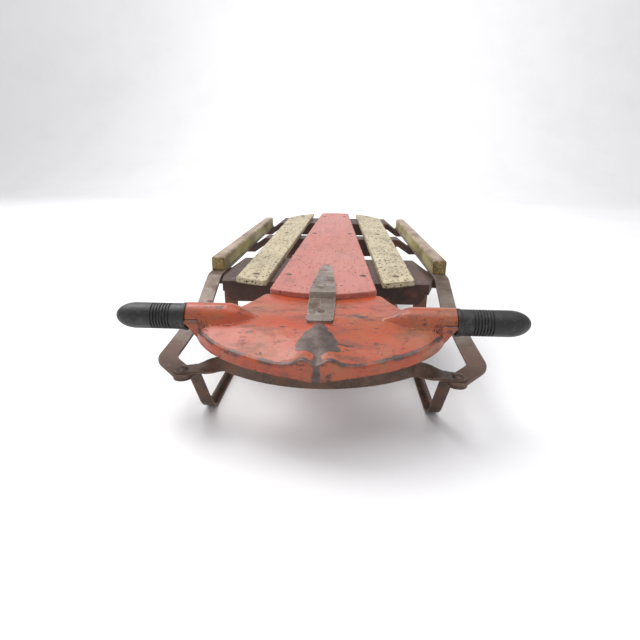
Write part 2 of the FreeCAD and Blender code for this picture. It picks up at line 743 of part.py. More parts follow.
def steering_nose():
    """Pressed sheet: D-shaped plate, turned-down front flange and two half-round arms."""
    top = height_surface(nose_top_z, 35, 21)
    slab = top.copy()
    slab.translate(V(0, 0, -nose_sheet))
    slab = slab.extrude(V(0, 0, nose_sheet))
    below_top = top.extrude(V(0, 0, -90))
    low = height_surface(lambda x, y: nose_low_z(x), 35, 3)
    above_low = low.extrude(V(0, 0, 90))
    plan = nose_plan(0)
    low_z = nose_plate_z - 60
    high_z = nose_plate_z + 6
    plate = prism(plan, low_z, high_z).common(slab)
    front_only = box(-2 * corner_x, 2 * corner_x, 2 * nose_tip_y, grip_y - 6, 0, sky_z)
    inside = prism(nose_plan(nose_sheet), low_z - 5, high_z + 5)
    rim = prism(plan, low_z, high_z).cut(inside).common(front_only)
    rim = rim.common(below_top).common(above_low)
    arm = half_arm()
    clear = rod(nose_arm_r - 0.5, (nose_arm_root_x + 6, grip_y, grip_z), (1, 0, 0), 80)
    clear = clear.fuse(rod(nose_arm_r - nose_sheet, (nose_arm_root_x, grip_y, grip_z), (1, 0, 0), 80))
    plate = plate.cut(clear).cut(mirrored(clear))
    body = fuse_all([plate, rim, arm, mirrored(arm)])
    core = rod(nose_arm_r - nose_sheet, (core_inner_x, grip_y, grip_z), (1, 0, 0), 80)
    body = body.cut(core).cut(mirrored(core))
    holes = [rod(bush_r, (0, pivot_y, 0), (0, 0, 1), sky_z)]
    pins = [(s * x, grip_y) for s in (-1, 1) for x in handle_pin_xs]
    holes += [rod(small_rivet_r, (x, y, 0), (0, 0, 1), sky_z) for x, y in pins + link_rivet_places]
    return body.cut(Part.makeCompound(holes))


def half_arm():
    """Half-round swage of the sheet that grips a handle core (right-hand)."""
    length = nose_arm_end_x - nose_arm_root_x
    shell = rod(nose_arm_r, (nose_arm_root_x, grip_y, grip_z), (1, 0, 0), length)
    end_ball = Part.makeSphere(nose_arm_r, V(nose_arm_root_x, grip_y, grip_z))
    shell = shell.fuse(end_ball)
    bore = rod(nose_arm_r - nose_sheet, (nose_arm_root_x, grip_y, grip_z), (1, 0, 0), length + 1)
    bore = bore.fuse(Part.makeSphere(nose_arm_r - nose_sheet, V(nose_arm_root_x, grip_y, grip_z)))
    upper = box(nose_arm_root_x - 30, nose_arm_end_x + 2, grip_y - 30, grip_y + 30, grip_z - 1, sky_z)
    return shell.cut(bore).common(upper)


def handle_core():
    """Hardwood dowel held in the arm; a thinner stem carries the grip."""
    arm_r = nose_arm_r - nose_sheet
    thick = rod(arm_r, (core_inner_x, grip_y, grip_z), (1, 0, 0), grip_inner_x - core_inner_x)
    stem = rod(core_grip_r, (grip_inner_x, grip_y, grip_z), (1, 0, 0), grip_bore_end_x - grip_inner_x)
    core = fuse_all([thick, stem])
    for x in handle_pin_xs:
        core = core.cut(rod(small_rivet_r, (x, grip_y, 0), (0, 0, 1), sky_z))
    return core


def handle_pins():
    """Pins through arm and core, four in all."""
    pieces = []
    for x in handle_pin_xs:
        shank = rod(small_rivet_r, (x, grip_y, grip_z - 12.0), (0, 0, 1), nose_arm_r + 12.0)
        head = dome(x, grip_y, grip_z + nose_arm_r - 0.5, 4.0, 1.6, 1)
        head = head.cut(rod(nose_arm_r, (x - 5, grip_y, grip_z), (1, 0, 0), 10))
        pieces.append(fuse_all([shank, head]))
    return pieces + [mirrored(p) for p in pieces]


def grip():
    """Right-hand grip: ribbed sleeve with a small flare and a bullet tip."""
    start = grip_inner_x
    barrel_end = grip_tip_x - grip_tip_length
    points = [(start, core_grip_r), (start, grip_flare_r), (start + 3, grip_flare_r), (start + 6, grip_r)]
    for k in range(grip_grooves):
        x = start + 18.5 + k * grip_groove_pitch
        floor_r = grip_r - grip_groove_depth
        points += [(x, grip_r), (x + 0.6, floor_r), (x + 1.4, floor_r), (x + 2.0, grip_r)]
    points += [(barrel_end, grip_r)]
    corners = [V(x, grip_y, grip_z + r) for x, r in points]
    edges = [Part.LineSegment(a, b).toShape() for a, b in zip(corners, corners[1:])]
    end = V(grip_tip_x, grip_y, grip_z)
    foot = V(barrel_end, grip_y, grip_z)
    oval = Part.Ellipse(end, foot + V(0, 0, grip_r), foot)
    edges.append(Part.ArcOfEllipse(oval, 0, math.pi / 2).toShape())
    hollow_end = V(grip_bore_end_x, grip_y, grip_z)
    hollow_rim = V(grip_bore_end_x, grip_y, grip_z + core_grip_r)
    edges.append(Part.LineSegment(end, hollow_end).toShape())
    edges.append(Part.LineSegment(hollow_end, hollow_rim).toShape())
    edges.append(Part.LineSegment(hollow_rim, corners[0]).toShape())
    face = Part.Face(Part.Wire(edges))
    solid = face.revolve(V(0, grip_y, grip_z), V(1, 0, 0), 360)
    clear = rod(nose_arm_r, (start - 1, grip_y, grip_z), (1, 0, 0), nose_arm_end_x - start + 1)
    return solid.cut(clear)


def link_plate():
    """Bar under the nose that carries the bush at the pivot and the drive stud."""
    z0 = link_plate_z
    z1 = z0 + link_plate_thickness
    bar = box(-link_half_width, link_half_width, stud_y, pivot_y + 28, z0, z1)
    bar = bar.fuse(rod(link_half_width, (0, stud_y, z0), (0, 0, 1), link_plate_thickness))
    spacer_z = nose_plate_z - nose_sheet
    riser = box(-link_half_width, link_half_width, pivot_y + 25, pivot_y + 28, z0, spacer_z)
    shelf = box(-link_half_width, link_half_width, pivot_y + 12, pivot_y + 28, spacer_z - 3, spacer_z)
    whole = fuse_all([bar, riser, shelf])
    cuts = [rod(bush_r, (0, pivot_y, 0), (0, 0, 1), sky_z), rod(stud_r, (0, stud_y, 0), (0, 0, 1), sky_z)]
    cuts += [rod(small_rivet_r, (x, y, 0), (0, 0, 1), sky_z) for x, y in link_rivet_places]
    return whole.cut(Part.makeCompound(cuts))


def link_rivets():
    """Two rivets that hold the link bar up to the sheet."""
    low = nose_plate_z - nose_sheet - link_plate_thickness
    pieces = []
    for x, y in link_rivet_places:
        shank = rod(small_rivet_r, (x, y, low), (0, 0, 1), nose_plate_z - low)
        foot = rod(small_head_r, (x, y, low - small_head_h), (0, 0, 1), small_head_h)
        head = dome(x, y, nose_plate_z, small_head_r, 1.0, 1)
        pieces.append(fuse_all([shank, foot, head]))
    return pieces


def drive_stud():
    """Stud hanging from the link bar into the slot of the bow's lug."""
    z1 = link_plate_z + link_plate_thickness
    low = bow_mid_z - 8
    stud = rod(stud_r, (0, stud_y, low), (0, 0, 1), z1 - low)
    collar = rod(7.0, (0, stud_y, link_plate_z - 3), (0, 0, 1), 3)
    return fuse_all([stud, collar])


def pivot_bush():
    """Bronze bush in the link bar and sheet; turns on the pivot bolt."""
    high = tongue_low_z - end_clearance
    bush = rod(bush_r, (0, pivot_y, link_plate_z), (0, 0, 1), high - link_plate_z)
    return bush.cut(rod(pivot_r + running_clearance, (0, pivot_y, 0), (0, 0, 1), sky_z))


def pivot_bolt():
    """Bolt under the tongue; its flat tang shows in the tongue's slot."""
    low = link_plate_z - 12
    shank = rod(pivot_r, (0, pivot_y, low), (0, 0, 1), tongue_low_z - low)
    tang = tang_bar(tongue_low_z, tongue_low_z + tongue_thickness - 0.6)
    return fuse_all([shank, tang])


def tang_bar(low, high):
    """The flat end of the pivot bolt, between two heights."""
    bar = box(-tang_half, tang_half, pivot_y - 1.5, pivot_y + 1.5, low, high)
    return bar.common(rod(tang_half, (0, pivot_y, 0), (0, 0, 1), sky_z))


def pivot_washer():
    """Flat washer under the bush."""
    high = link_plate_z - end_clearance
    ring = rod(11.0, (0, pivot_y, high - 2), (0, 0, 1), 2)
    return ring.cut(rod(pivot_r, (0, pivot_y, 0), (0, 0, 1), sky_z))


def pivot_nut():
    """Hexagon nut that closes the pivot."""
    high = link_plate_z - end_clearance - 2
    radius = 16.0 / math.sqrt(3.0)
    turns = [math.radians(60 * k) for k in range(6)]
    points = [(radius * math.cos(a), pivot_y + radius * math.sin(a)) for a in turns]
    body = prism(outline_face(points), high - 7, high)
    return body.cut(rod(pivot_r, (0, pivot_y, 0), (0, 0, 1), sky_z))


# ---------------------------------------------------------------- tongue
def tongue_rivet_places():
    """Rivets through tongue and centre board, with the height each head sits at."""
    return [(deck_front_y + offset, deck_top_z + tongue_thickness) for offset in (157.0, 36.0)]


def tongue():
    """Hold-down plate: riveted to the board, stepped down over its front edge."""
    right = [(h, y) for y, h in tongue_half]
    left = [(-h, y) for y, h in reversed(tongue_half)]
    plan = outline_face(right + left)
    step_y = deck_front_y - 1.0
    t = tongue_thickness
    low = [(tongue_rear_y + 1, deck_top_z), (step_y - 0.5, deck_top_z), (step_y - 1.2, tongue_low_z),
           (tongue_front_y - 1, tongue_low_z)]
    high = [(tongue_rear_y + 1, deck_top_z + t), (step_y - 3.5, deck_top_z + t),
            (step_y - 5.5, tongue_low_z + t), (tongue_front_y - 1, tongue_low_z + t)]
    plate = prism(plan, 0, sky_z).common(side_band(low + list(reversed(high)), -50, 50))
    plate = plate.makeFillet(5.0, vertical_edges(plate, lambda c: abs(c.y - tongue_rear_y) < 1))
    plate = plate.makeFillet(5.0, vertical_edges(plate, lambda c: abs(c.y - tongue_front_y) < 1))
    cuts = [rod(rivet_r, (0, y, 0), (0, 0, 1), sky_z) for y, _ in tongue_rivet_places()]
    cuts.append(tang_bar(tongue_low_z - 5, tongue_low_z + 10))
    return plate.cut(Part.makeCompound(cuts))


def tongue_rivets():
    """Rivets through tongue and centre board; the rear one also takes the front bench."""
    pieces = []
    bench_start_y = bench_edges("front")[0]
    for y, top in tongue_rivet_places():
        low = knee_top_z if y > bench_start_y else deck_low_z
        pieces.append(rivet(0, y, low, top))
    return pieces


# ---------------------------------------------------------------- the assembly
def pair(name, shape):
    """Save a right-hand piece and its left-hand twin."""
    save(name + "_right", shape)
    save(name + "_left", mirrored(shape))


save("centre_board", centre_board())
pair("slat", right_slat())
for row_name in bench_y:
    save("bench_" + row_name, bench(row_name))
    pair("knee_" + row_name, knee(row_name))
    save("knee_rivets_" + row_name, knee_rivets(row_name))
    save("deck_rivets_" + row_name, deck_rivets(row_name))
pair("runner", runner())
pair("side_strap", strap())
pair("side_rail", rail())
save("rail_screws_right", rail_screws())
save("rail_screws_left", [mirrored(s) for s in rail_screws()])
save("front_bow", front_bow())
save("bow_bracket", bow_bracket())
save("corner_rivets", corner_rivets())
save("steering_nose", steering_nose())
pair("handle_core", handle_core())
save("handle_pins", handle_pins())
pair("grip", grip())
save("link_plate", link_plate())
save("link_rivets", link_rivets())
save("drive_stud", drive_stud())
save("pivot_bush", pivot_bush())
save("pivot_bolt", pivot_bolt())
save("pivot_washer", pivot_washer())
save("pivot_nut", pivot_nut())
save("steering_tongue", tongue())
save("tongue_rivets", tongue_rivets())
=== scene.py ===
# %% [markdown]
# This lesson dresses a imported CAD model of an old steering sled: a slatted wooden
# deck on pressed steel benches, two T-bar runners, side rails on flat steel straps,
# and a red pressed steel nose with black hand grips.
# The CAD model already has every size right, so most nodes only need a finish here.
# The pieces that must bend or curve more finely than the CAD mesh are built again.

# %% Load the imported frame
import math

import bmesh
import bpy
import numpy as np
from mathutils import Matrix, Vector


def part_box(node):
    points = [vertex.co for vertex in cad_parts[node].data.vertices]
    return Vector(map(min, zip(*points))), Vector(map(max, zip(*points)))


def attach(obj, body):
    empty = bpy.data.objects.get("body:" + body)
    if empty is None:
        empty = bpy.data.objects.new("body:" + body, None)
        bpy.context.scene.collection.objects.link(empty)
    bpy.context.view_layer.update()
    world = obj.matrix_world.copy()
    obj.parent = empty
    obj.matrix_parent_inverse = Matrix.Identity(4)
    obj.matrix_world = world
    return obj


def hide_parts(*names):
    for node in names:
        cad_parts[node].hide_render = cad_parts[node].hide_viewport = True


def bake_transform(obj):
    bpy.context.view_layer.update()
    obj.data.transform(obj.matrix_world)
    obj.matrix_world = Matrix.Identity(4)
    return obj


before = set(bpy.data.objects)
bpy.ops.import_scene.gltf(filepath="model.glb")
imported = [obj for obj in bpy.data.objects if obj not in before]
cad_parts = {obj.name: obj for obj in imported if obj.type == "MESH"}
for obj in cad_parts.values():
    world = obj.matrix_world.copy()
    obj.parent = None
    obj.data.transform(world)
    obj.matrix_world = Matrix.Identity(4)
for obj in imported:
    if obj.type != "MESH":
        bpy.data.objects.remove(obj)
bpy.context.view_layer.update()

MM = 0.001
SIDES = {"right": 1, "left": -1}
CORNER_HEAD = 7.5 * MM

# %% [markdown]
# Every new piece is placed from the boxes of the CAD nodes, never by eye.
# A few key places are read once: the corner rivet that joins bow, strap and runner,
# the line of the hand grips, and the edges of the deck.

# %% Key places on the frame


def middle(node):
    """Centre of a node's box."""
    low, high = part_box(node)
    return (low + high) / 2


deck_low, deck_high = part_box("centre_board")
nose_low, nose_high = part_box("steering_nose")
core_right = middle("handle_core_right")
rivet_low, rivet_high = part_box("corner_rivets")
corner_right = Vector((rivet_high.x - CORNER_HEAD, (rivet_low.y + rivet_high.y) / 2, 0))
strap_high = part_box("side_strap_right")[1]
runner_low, runner_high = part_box("runner_right")
print("grip line y", round(core_right.y, 4), "corner", [round(v, 4) for v in corner_right])

# %% [markdown]
# Colours are easier to choose as they look on a screen, but a shader wants linear
# light. `tint` turns a screen colour into the linear one that a socket expects.

# %% Screen colours to linear light


def tint(red, green, blue):
    """Linear colour from a screen colour of 0 to 255 a channel."""
    linear = []
    for value in (red, green, blue):
        share = value / 255
        linear.append(share / 12.92 if share <= 0.04045 else ((share + 0.055) / 1.055) ** 2.4)
    return (*linear, 1.0)


# %% [markdown]
# Wear, grime, grain and chips turn up on many pieces of an old sled, so each is a
# node group that is built once and placed in each material with its own values.
# A group only gives out masks, heights or colours; the surface shader stays in the
# material itself, where the exporter can read it.

# %% Helpers for node trees


def add(tree, kind, **settings):
    """A node with some of its settings."""
    node = tree.nodes.new(kind)
    for name, value in settings.items():
        setattr(node, name, value)
    return node


def feed(tree, target, value):
    """Joins a socket to a socket, or gives it a plain value."""
    if isinstance(value, bpy.types.NodeSocket):
        tree.links.new(value, target)
    else:
        target.default_value = value


def maths(tree, operation, first, second=0.0, clamp=False):
    """One sum of two values."""
    node = add(tree, "ShaderNodeMath", operation=operation, use_clamp=clamp)
    feed(tree, node.inputs[0], first)
    feed(tree, node.inputs[1], second)
    return node.outputs[0]


def ease(tree, value, low, high, to_low=0.0, to_high=1.0):
    """A soft step from one value to another."""
    node = add(tree, "ShaderNodeMapRange", interpolation_type="SMOOTHSTEP")
    for socket, number in zip(node.inputs[:5], (value, low, high, to_low, to_high)):
        feed(tree, socket, number)
    return node.outputs[0]


def blend_colours(tree, share, first, second):
    """Mixes two colours by a share."""
    node = add(tree, "ShaderNodeMix", data_type="RGBA")
    feed(tree, node.inputs[0], share)
    feed(tree, node.inputs[6], first)
    feed(tree, node.inputs[7], second)
    return node.outputs[2]


def new_group(name, inputs, outputs):
    """An empty node group with named sockets."""
    tree = bpy.data.node_groups.new(name, "ShaderNodeTree")
    for label, kind, value in inputs:
        socket = tree.interface.new_socket(label, in_out="INPUT", socket_type=kind)
        socket.default_value = value
    for label in outputs:
        tree.interface.new_socket(label, in_out="OUTPUT", socket_type="NodeSocketFloat")
    return tree, add(tree, "NodeGroupInput").outputs, add(tree, "NodeGroupOutput").inputs


def place(tree, group, output, **values):
    """Puts a group in a material and returns one of its outputs."""
    node = add(tree, "ShaderNodeGroup", node_tree=group)
    for label, value in values.items():
        feed(tree, node.inputs[label], value)
    return node.outputs[output]


NUMBER = "NodeSocketFloat"
ARROW = "NodeSocketVector"

# %% [markdown]
# Patches are the broad, cloudy differences in an old finish: sun-bleached areas,
# stains and rust bloom. Noise read from the piece's own place gives them, squeezed
# between two thresholds so that a material can ask for a few hard patches or an
# even cloud. The stretch draws them out along one direction.

# %% Group: patches


def build_patches():
    """Cloudy patches between two thresholds."""
    tree, given, out = new_group("Patches", [
        ("Scale", NUMBER, 20.0), ("Stretch", ARROW, (1, 1, 1)), ("Low", NUMBER, 0.45),
        ("High", NUMBER, 0.6), ("Detail", NUMBER, 6.0)], ["Mask"])
    place_of = add(tree, "ShaderNodeTexCoord").outputs["Object"]
    drawn = add(tree, "ShaderNodeVectorMath", operation="MULTIPLY")
    feed(tree, drawn.inputs[0], place_of)
    feed(tree, drawn.inputs[1], given["Stretch"])
    noise = add(tree, "ShaderNodeTexNoise")
    feed(tree, noise.inputs["Vector"], drawn.outputs[0])
    feed(tree, noise.inputs["Scale"], given["Scale"])
    feed(tree, noise.inputs["Detail"], given["Detail"])
    noise.inputs["Roughness"].default_value = 0.62
    feed(tree, out["Mask"], ease(tree, noise.outputs["Fac"], given["Low"], given["High"]))
    return tree


patches = build_patches()

# %% [markdown]
# Edge wear shows where hands and other things rub: the sharp edges of boards and
# sheets. The Bevel node gives the normal as if the edge were rounded; where that
# differs from the true normal there is an edge. A little noise breaks the line up,
# so that the wear doesn't look like an outline drawn with a pen.

# %% Group: edge wear


def build_edge_wear():
    """Mask of the worn edges."""
    tree, given, out = new_group("Edge wear", [
        ("Width", NUMBER, 0.003), ("Amount", NUMBER, 1.0), ("Scale", NUMBER, 90.0)], ["Mask"])
    rounded = add(tree, "ShaderNodeBevel", samples=4)
    feed(tree, rounded.inputs["Radius"], given["Width"])
    true_normal = add(tree, "ShaderNodeNewGeometry").outputs["Normal"]
    agree = add(tree, "ShaderNodeVectorMath", operation="DOT_PRODUCT")
    feed(tree, agree.inputs[0], rounded.outputs[0])
    feed(tree, agree.inputs[1], true_normal)
    edge = maths(tree, "SUBTRACT", 1.0, agree.outputs["Value"])
    broken = place(tree, patches, "Mask", Scale=given["Scale"], Low=0.3, High=0.7)
    strength = maths(tree, "MULTIPLY", edge, maths(tree, "MULTIPLY", broken, given["Amount"]))
    feed(tree, out["Mask"], ease(tree, strength, 0.015, 0.09))
    return tree


edge_wear = build_edge_wear()

# %% [markdown]
# Chips are small spots where paint has flaked off. Voronoi cells give scattered
# centres, and a noise decides which of them are chipped and how big the chip is.

# %% Group: chips


def build_chips():
    """Mask of small flaked spots."""
    tree, given, out = new_group("Chips", [
        ("Scale", NUMBER, 160.0), ("Size", NUMBER, 0.25), ("Amount", NUMBER, 0.5),
        ("Stretch", ARROW, (1, 1, 1))], ["Mask"])
    drawn = add(tree, "ShaderNodeVectorMath", operation="MULTIPLY")
    feed(tree, drawn.inputs[0], add(tree, "ShaderNodeTexCoord").outputs["Object"])
    feed(tree, drawn.inputs[1], given["Stretch"])
    ragged = add(tree, "ShaderNodeTexNoise")
    feed(tree, ragged.inputs["Vector"], drawn.outputs[0])
    feed(tree, ragged.inputs["Scale"], maths(tree, "MULTIPLY", given["Scale"], 2.0))
    cells = add(tree, "ShaderNodeTexVoronoi")
    feed(tree, cells.inputs["Vector"], drawn.outputs[0])
    feed(tree, cells.inputs["Scale"], given["Scale"])
    rough_edge = maths(tree, "MULTIPLY", ragged.outputs["Fac"], 0.35)
    uneven = maths(tree, "ADD", cells.outputs["Distance"], rough_edge)
    spot = ease(tree, uneven, maths(tree, "ADD", given["Size"], 0.1), given["Size"])
    picked = add(tree, "ShaderNodeSeparateColor")
    feed(tree, picked.inputs[0], cells.outputs["Color"])
    kept = maths(tree, "LESS_THAN", picked.outputs[0], given["Amount"])
    feed(tree, out["Mask"], maths(tree, "MULTIPLY", spot, kept))
    return tree


chips = build_chips()

# %% [markdown]
# Scratches are long and thin. The same cloudy noise, read through a slanted and
# strongly stretched place, makes streaks; a narrow band of its value keeps only
# hairlines.

# %% Group: scratches


def build_scratches():
    """Mask of hairline scratches in two slanted directions."""
    tree, given, out = new_group("Scratches", [
        ("Scale", NUMBER, 14.0), ("Amount", NUMBER, 0.5)], ["Mask"])
    found = None
    for turn, squeeze in ((0.5, (1.0, 16.0, 16.0)), (-0.9, (14.0, 1.0, 14.0)), (0.15, (1.0, 22.0, 22.0))):
        mapped = add(tree, "ShaderNodeMapping")
        feed(tree, mapped.inputs["Vector"], add(tree, "ShaderNodeTexCoord").outputs["Object"])
        mapped.inputs["Rotation"].default_value = (0, 0, turn)
        mapped.inputs["Scale"].default_value = squeeze
        noise = add(tree, "ShaderNodeTexNoise")
        feed(tree, noise.inputs["Vector"], mapped.outputs[0])
        feed(tree, noise.inputs["Scale"], given["Scale"])
        noise.inputs["Detail"].default_value = 3.0
        away = maths(tree, "ABSOLUTE", maths(tree, "SUBTRACT", noise.outputs["Fac"], 0.62))
        line = ease(tree, away, 0.012, 0.0)
        found = line if found is None else maths(tree, "MAXIMUM", found, line)
    here = place(tree, patches, "Mask", Scale=26.0, Low=0.42, High=0.62)
    feed(tree, out["Mask"], maths(tree, "MULTIPLY", maths(tree, "MULTIPLY", found, here), given["Amount"]))
    return tree


scratches = build_scratches()

# %% [markdown]
# Wood shows its grain even through old paint, as fine ridges along the board. The
# boards and rails all run front to back, so the noise is squeezed across and drawn
# out along that direction.

# %% Group: wood grain


def build_grain():
    """Height and streaks of wood grain that runs front to back."""
    tree, given, out = new_group("Wood grain", [("Fineness", NUMBER, 1.0)], ["Height", "Streak"])
    mapped = add(tree, "ShaderNodeMapping")
    feed(tree, mapped.inputs["Vector"], add(tree, "ShaderNodeTexCoord").outputs["Object"])
    mapped.inputs["Scale"].default_value = (1.0, 0.035, 1.0)
    fine = add(tree, "ShaderNodeTexNoise")
    feed(tree, fine.inputs["Vector"], mapped.outputs[0])
    feed(tree, fine.inputs["Scale"], maths(tree, "MULTIPLY", given["Fineness"], 420.0))
    fine.inputs["Detail"].default_value = 5.0
    broad = add(tree, "ShaderNodeTexNoise")
    feed(tree, broad.inputs["Vector"], mapped.outputs[0])
    feed(tree, broad.inputs["Scale"], maths(tree, "MULTIPLY", given["Fineness"], 90.0))
    broad.inputs["Distortion"].default_value = 0.8
    both = maths(tree, "ADD", maths(tree, "MULTIPLY", fine.outputs["Fac"], 0.6),
                 maths(tree, "MULTIPLY", broad.outputs["Fac"], 0.4))
    feed(tree, out["Height"], both)
    feed(tree, out["Streak"], ease(tree, both, 0.42, 0.6))
    return tree


wood_grain = build_grain()
print("groups:", [g.name for g in bpy.data.node_groups])

# %% [markdown]
# Each material ends in one Principled shader. `finish_with` makes it, sets the plain
# values on its own sockets, and runs a height through a Bump node. The Bevel node
# again lends a soft rounding to CAD edges that are mathematically sharp.

# %% Closing a material


def start(name):
    """A new material with an empty tree."""
    material = bpy.data.materials.new(name)
    material.use_nodes = True
    material.node_tree.nodes.clear()
    return material, material.node_tree


def finish_with(tree, colour, roughness, height=None, metallic=0.0, depth=0.0005, rounding=0.0008, **plain):
    """The Principled shader with its colour, roughness and relief."""
    shader = add(tree, "ShaderNodeBsdfPrincipled")
    feed(tree, shader.inputs["Base Color"], colour)
    feed(tree, shader.inputs["Roughness"], roughness)
    feed(tree, shader.inputs["Metallic"], metallic)
    for label, value in plain.items():
        shader.inputs[label.replace("_", " ")].default_value = value
    if height is not None:
        bump = add(tree, "ShaderNodeBump")
        bump.inputs["Distance"].default_value = depth
        bump.inputs["Strength"].default_value = 1.0
        feed(tree, bump.inputs["Height"], height)
        if rounding:
            soft = add(tree, "ShaderNodeBevel", samples=4)
            soft.inputs["Radius"].default_value = rounding
            feed(tree, bump.inputs["Normal"], soft.outputs[0])
        feed(tree, shader.inputs["Normal"], bump.outputs[0])
    sheet = add(tree, "ShaderNodeOutputMaterial")
    feed(tree, sheet.inputs[0], shader.outputs[0])


# %% [markdown]
# The boards are painted wood. The paint has bleached in clouds, flaked in specks and
# rubbed off along the edges, where dark weathered wood shows. One recipe with its own
# colours and amounts makes the red centre board and the cream slats.

# %% Painted wood


def painted_wood(name, paint, faded, bare, fleck, fleck_amount, edge_amount, grime):
    """Old paint on wood."""
    material, tree = start(name)
    cloud = place(tree, patches, "Mask", Scale=9.0, Low=0.3, High=0.7)
    colour = blend_colours(tree, cloud, paint, faded)
    streak = place(tree, wood_grain, "Streak", Fineness=0.6)
    colour = blend_colours(tree, maths(tree, "MULTIPLY", streak, 0.18), colour, bare)
    dirt = place(tree, patches, "Mask", Scale=34.0, Stretch=(1.0, 0.3, 1.0), Low=0.5, High=0.72, Detail=9.0)
    colour = blend_colours(tree, maths(tree, "MULTIPLY", dirt, grime), colour, bare)
    spots = place(tree, chips, "Mask", Scale=170.0, Size=0.4, Amount=fleck_amount, Stretch=(1.0, 0.7, 1.0))
    flaked = place(tree, patches, "Mask", Scale=30.0, Low=0.36, High=0.54)
    spots = maths(tree, "MULTIPLY", spots, flaked)
    spatter = place(tree, patches, "Mask", Scale=150.0, Stretch=(1.0, 0.55, 1.0), Low=0.585, High=0.615,
                    Detail=12.0)
    spots = maths(tree, "MAXIMUM", spots, maths(tree, "MULTIPLY", spatter, fleck_amount))
    colour = blend_colours(tree, spots, colour, fleck)
    line = place(tree, scratches, "Mask", Scale=10.0, Amount=0.5)
    colour = blend_colours(tree, line, colour, bare)
    worn = place(tree, edge_wear, "Mask", Width=0.0035, Amount=edge_amount, Scale=60.0)
    colour = blend_colours(tree, maths(tree, "MULTIPLY", worn, 0.85), colour, bare)
    lost = maths(tree, "MAXIMUM", spots, worn)
    rough = ease(tree, lost, 0.0, 1.0, 0.42, 0.75)
    grain_height = place(tree, wood_grain, "Height", Fineness=0.8)
    relief = maths(tree, "SUBTRACT", maths(tree, "MULTIPLY", grain_height, 0.6),
                   maths(tree, "MULTIPLY", lost, 0.5))
    finish_with(tree, colour, rough, relief, depth=0.0004, rounding=0.0015)
    return material


red_board = painted_wood("Faded red board paint", tint(172, 88, 72), tint(176, 106, 94), tint(92, 50, 40),
                         tint(86, 48, 42), 0.3, 1.4, 0.4)
cream_slat = painted_wood("Cream slat paint", tint(186, 172, 138), tint(164, 148, 112), tint(70, 54, 36),
                          tint(58, 50, 30), 0.85, 2.2, 0.55)

# %% [markdown]
# The rails were cream too, but hands have worn their tops to a greyish, stained wood,
# while their inner sides kept a yellower coat and their front ends are sawn wood. The
# direction a face points in tells the three apart.

# %% Rail finish


def build_rail_finish():
    """Worn cream tops, yellowish sides, raw ends."""
    material, tree = start("Worn rail paint")
    facing = add(tree, "ShaderNodeSeparateXYZ")
    feed(tree, facing.inputs[0], add(tree, "ShaderNodeTexCoord").outputs["Normal"])
    upward = ease(tree, facing.outputs["Z"], 0.5, 0.9)
    forward = ease(tree, facing.outputs["Y"], -0.5, -0.9)
    cloud = place(tree, patches, "Mask", Scale=12.0, Low=0.35, High=0.65)
    side = blend_colours(tree, cloud, tint(176, 166, 110), tint(150, 138, 84))
    top = blend_colours(tree, cloud, tint(166, 148, 126), tint(128, 104, 88))
    colour = blend_colours(tree, upward, side, top)
    stains = place(tree, patches, "Mask", Scale=26.0, Stretch=(1.2, 0.35, 1.0), Low=0.46, High=0.66,
                   Detail=9.0)
    colour = blend_colours(tree, maths(tree, "MULTIPLY", stains, 0.8), colour, tint(84, 54, 42))
    streak = place(tree, wood_grain, "Streak", Fineness=0.7)
    colour = blend_colours(tree, maths(tree, "MULTIPLY", streak, 0.25), colour, tint(96, 78, 54))
    raw = blend_colours(tree, streak, tint(150, 128, 72), tint(84, 60, 36))
    colour = blend_colours(tree, maths(tree, "MULTIPLY", forward, 0.8), colour, raw)
    spots = place(tree, chips, "Mask", Scale=190.0, Size=0.32, Amount=0.5)
    colour = blend_colours(tree, maths(tree, "MULTIPLY", spots, 0.8), colour, tint(80, 60, 42))
    worn = place(tree, edge_wear, "Mask", Width=0.005, Amount=2.6, Scale=70.0)
    colour = blend_colours(tree, maths(tree, "MULTIPLY", worn, 0.9), colour, tint(78, 46, 36))
    grain_height = place(tree, wood_grain, "Height", Fineness=0.8)
    relief = maths(tree, "SUBTRACT", grain_height, maths(tree, "MULTIPLY", worn, 0.6))
    finish_with(tree, colour, ease(tree, worn, 0.0, 1.0, 0.5, 0.8), relief, depth=0.0005, rounding=0.002)
    return material


rail_finish = build_rail_finish()


def build_dowel_finish():
    """Bare hardwood inside the arms."""
    material, tree = start("Bare hardwood")
    streak = place(tree, wood_grain, "Streak", Fineness=1.0)
    colour = blend_colours(tree, streak, tint(150, 118, 80), tint(108, 78, 48))
    finish_with(tree, colour, ease(tree, streak, 0, 1, 0.6, 0.8), streak, depth=0.0003)
    return material


dowel_finish = build_dowel_finish()
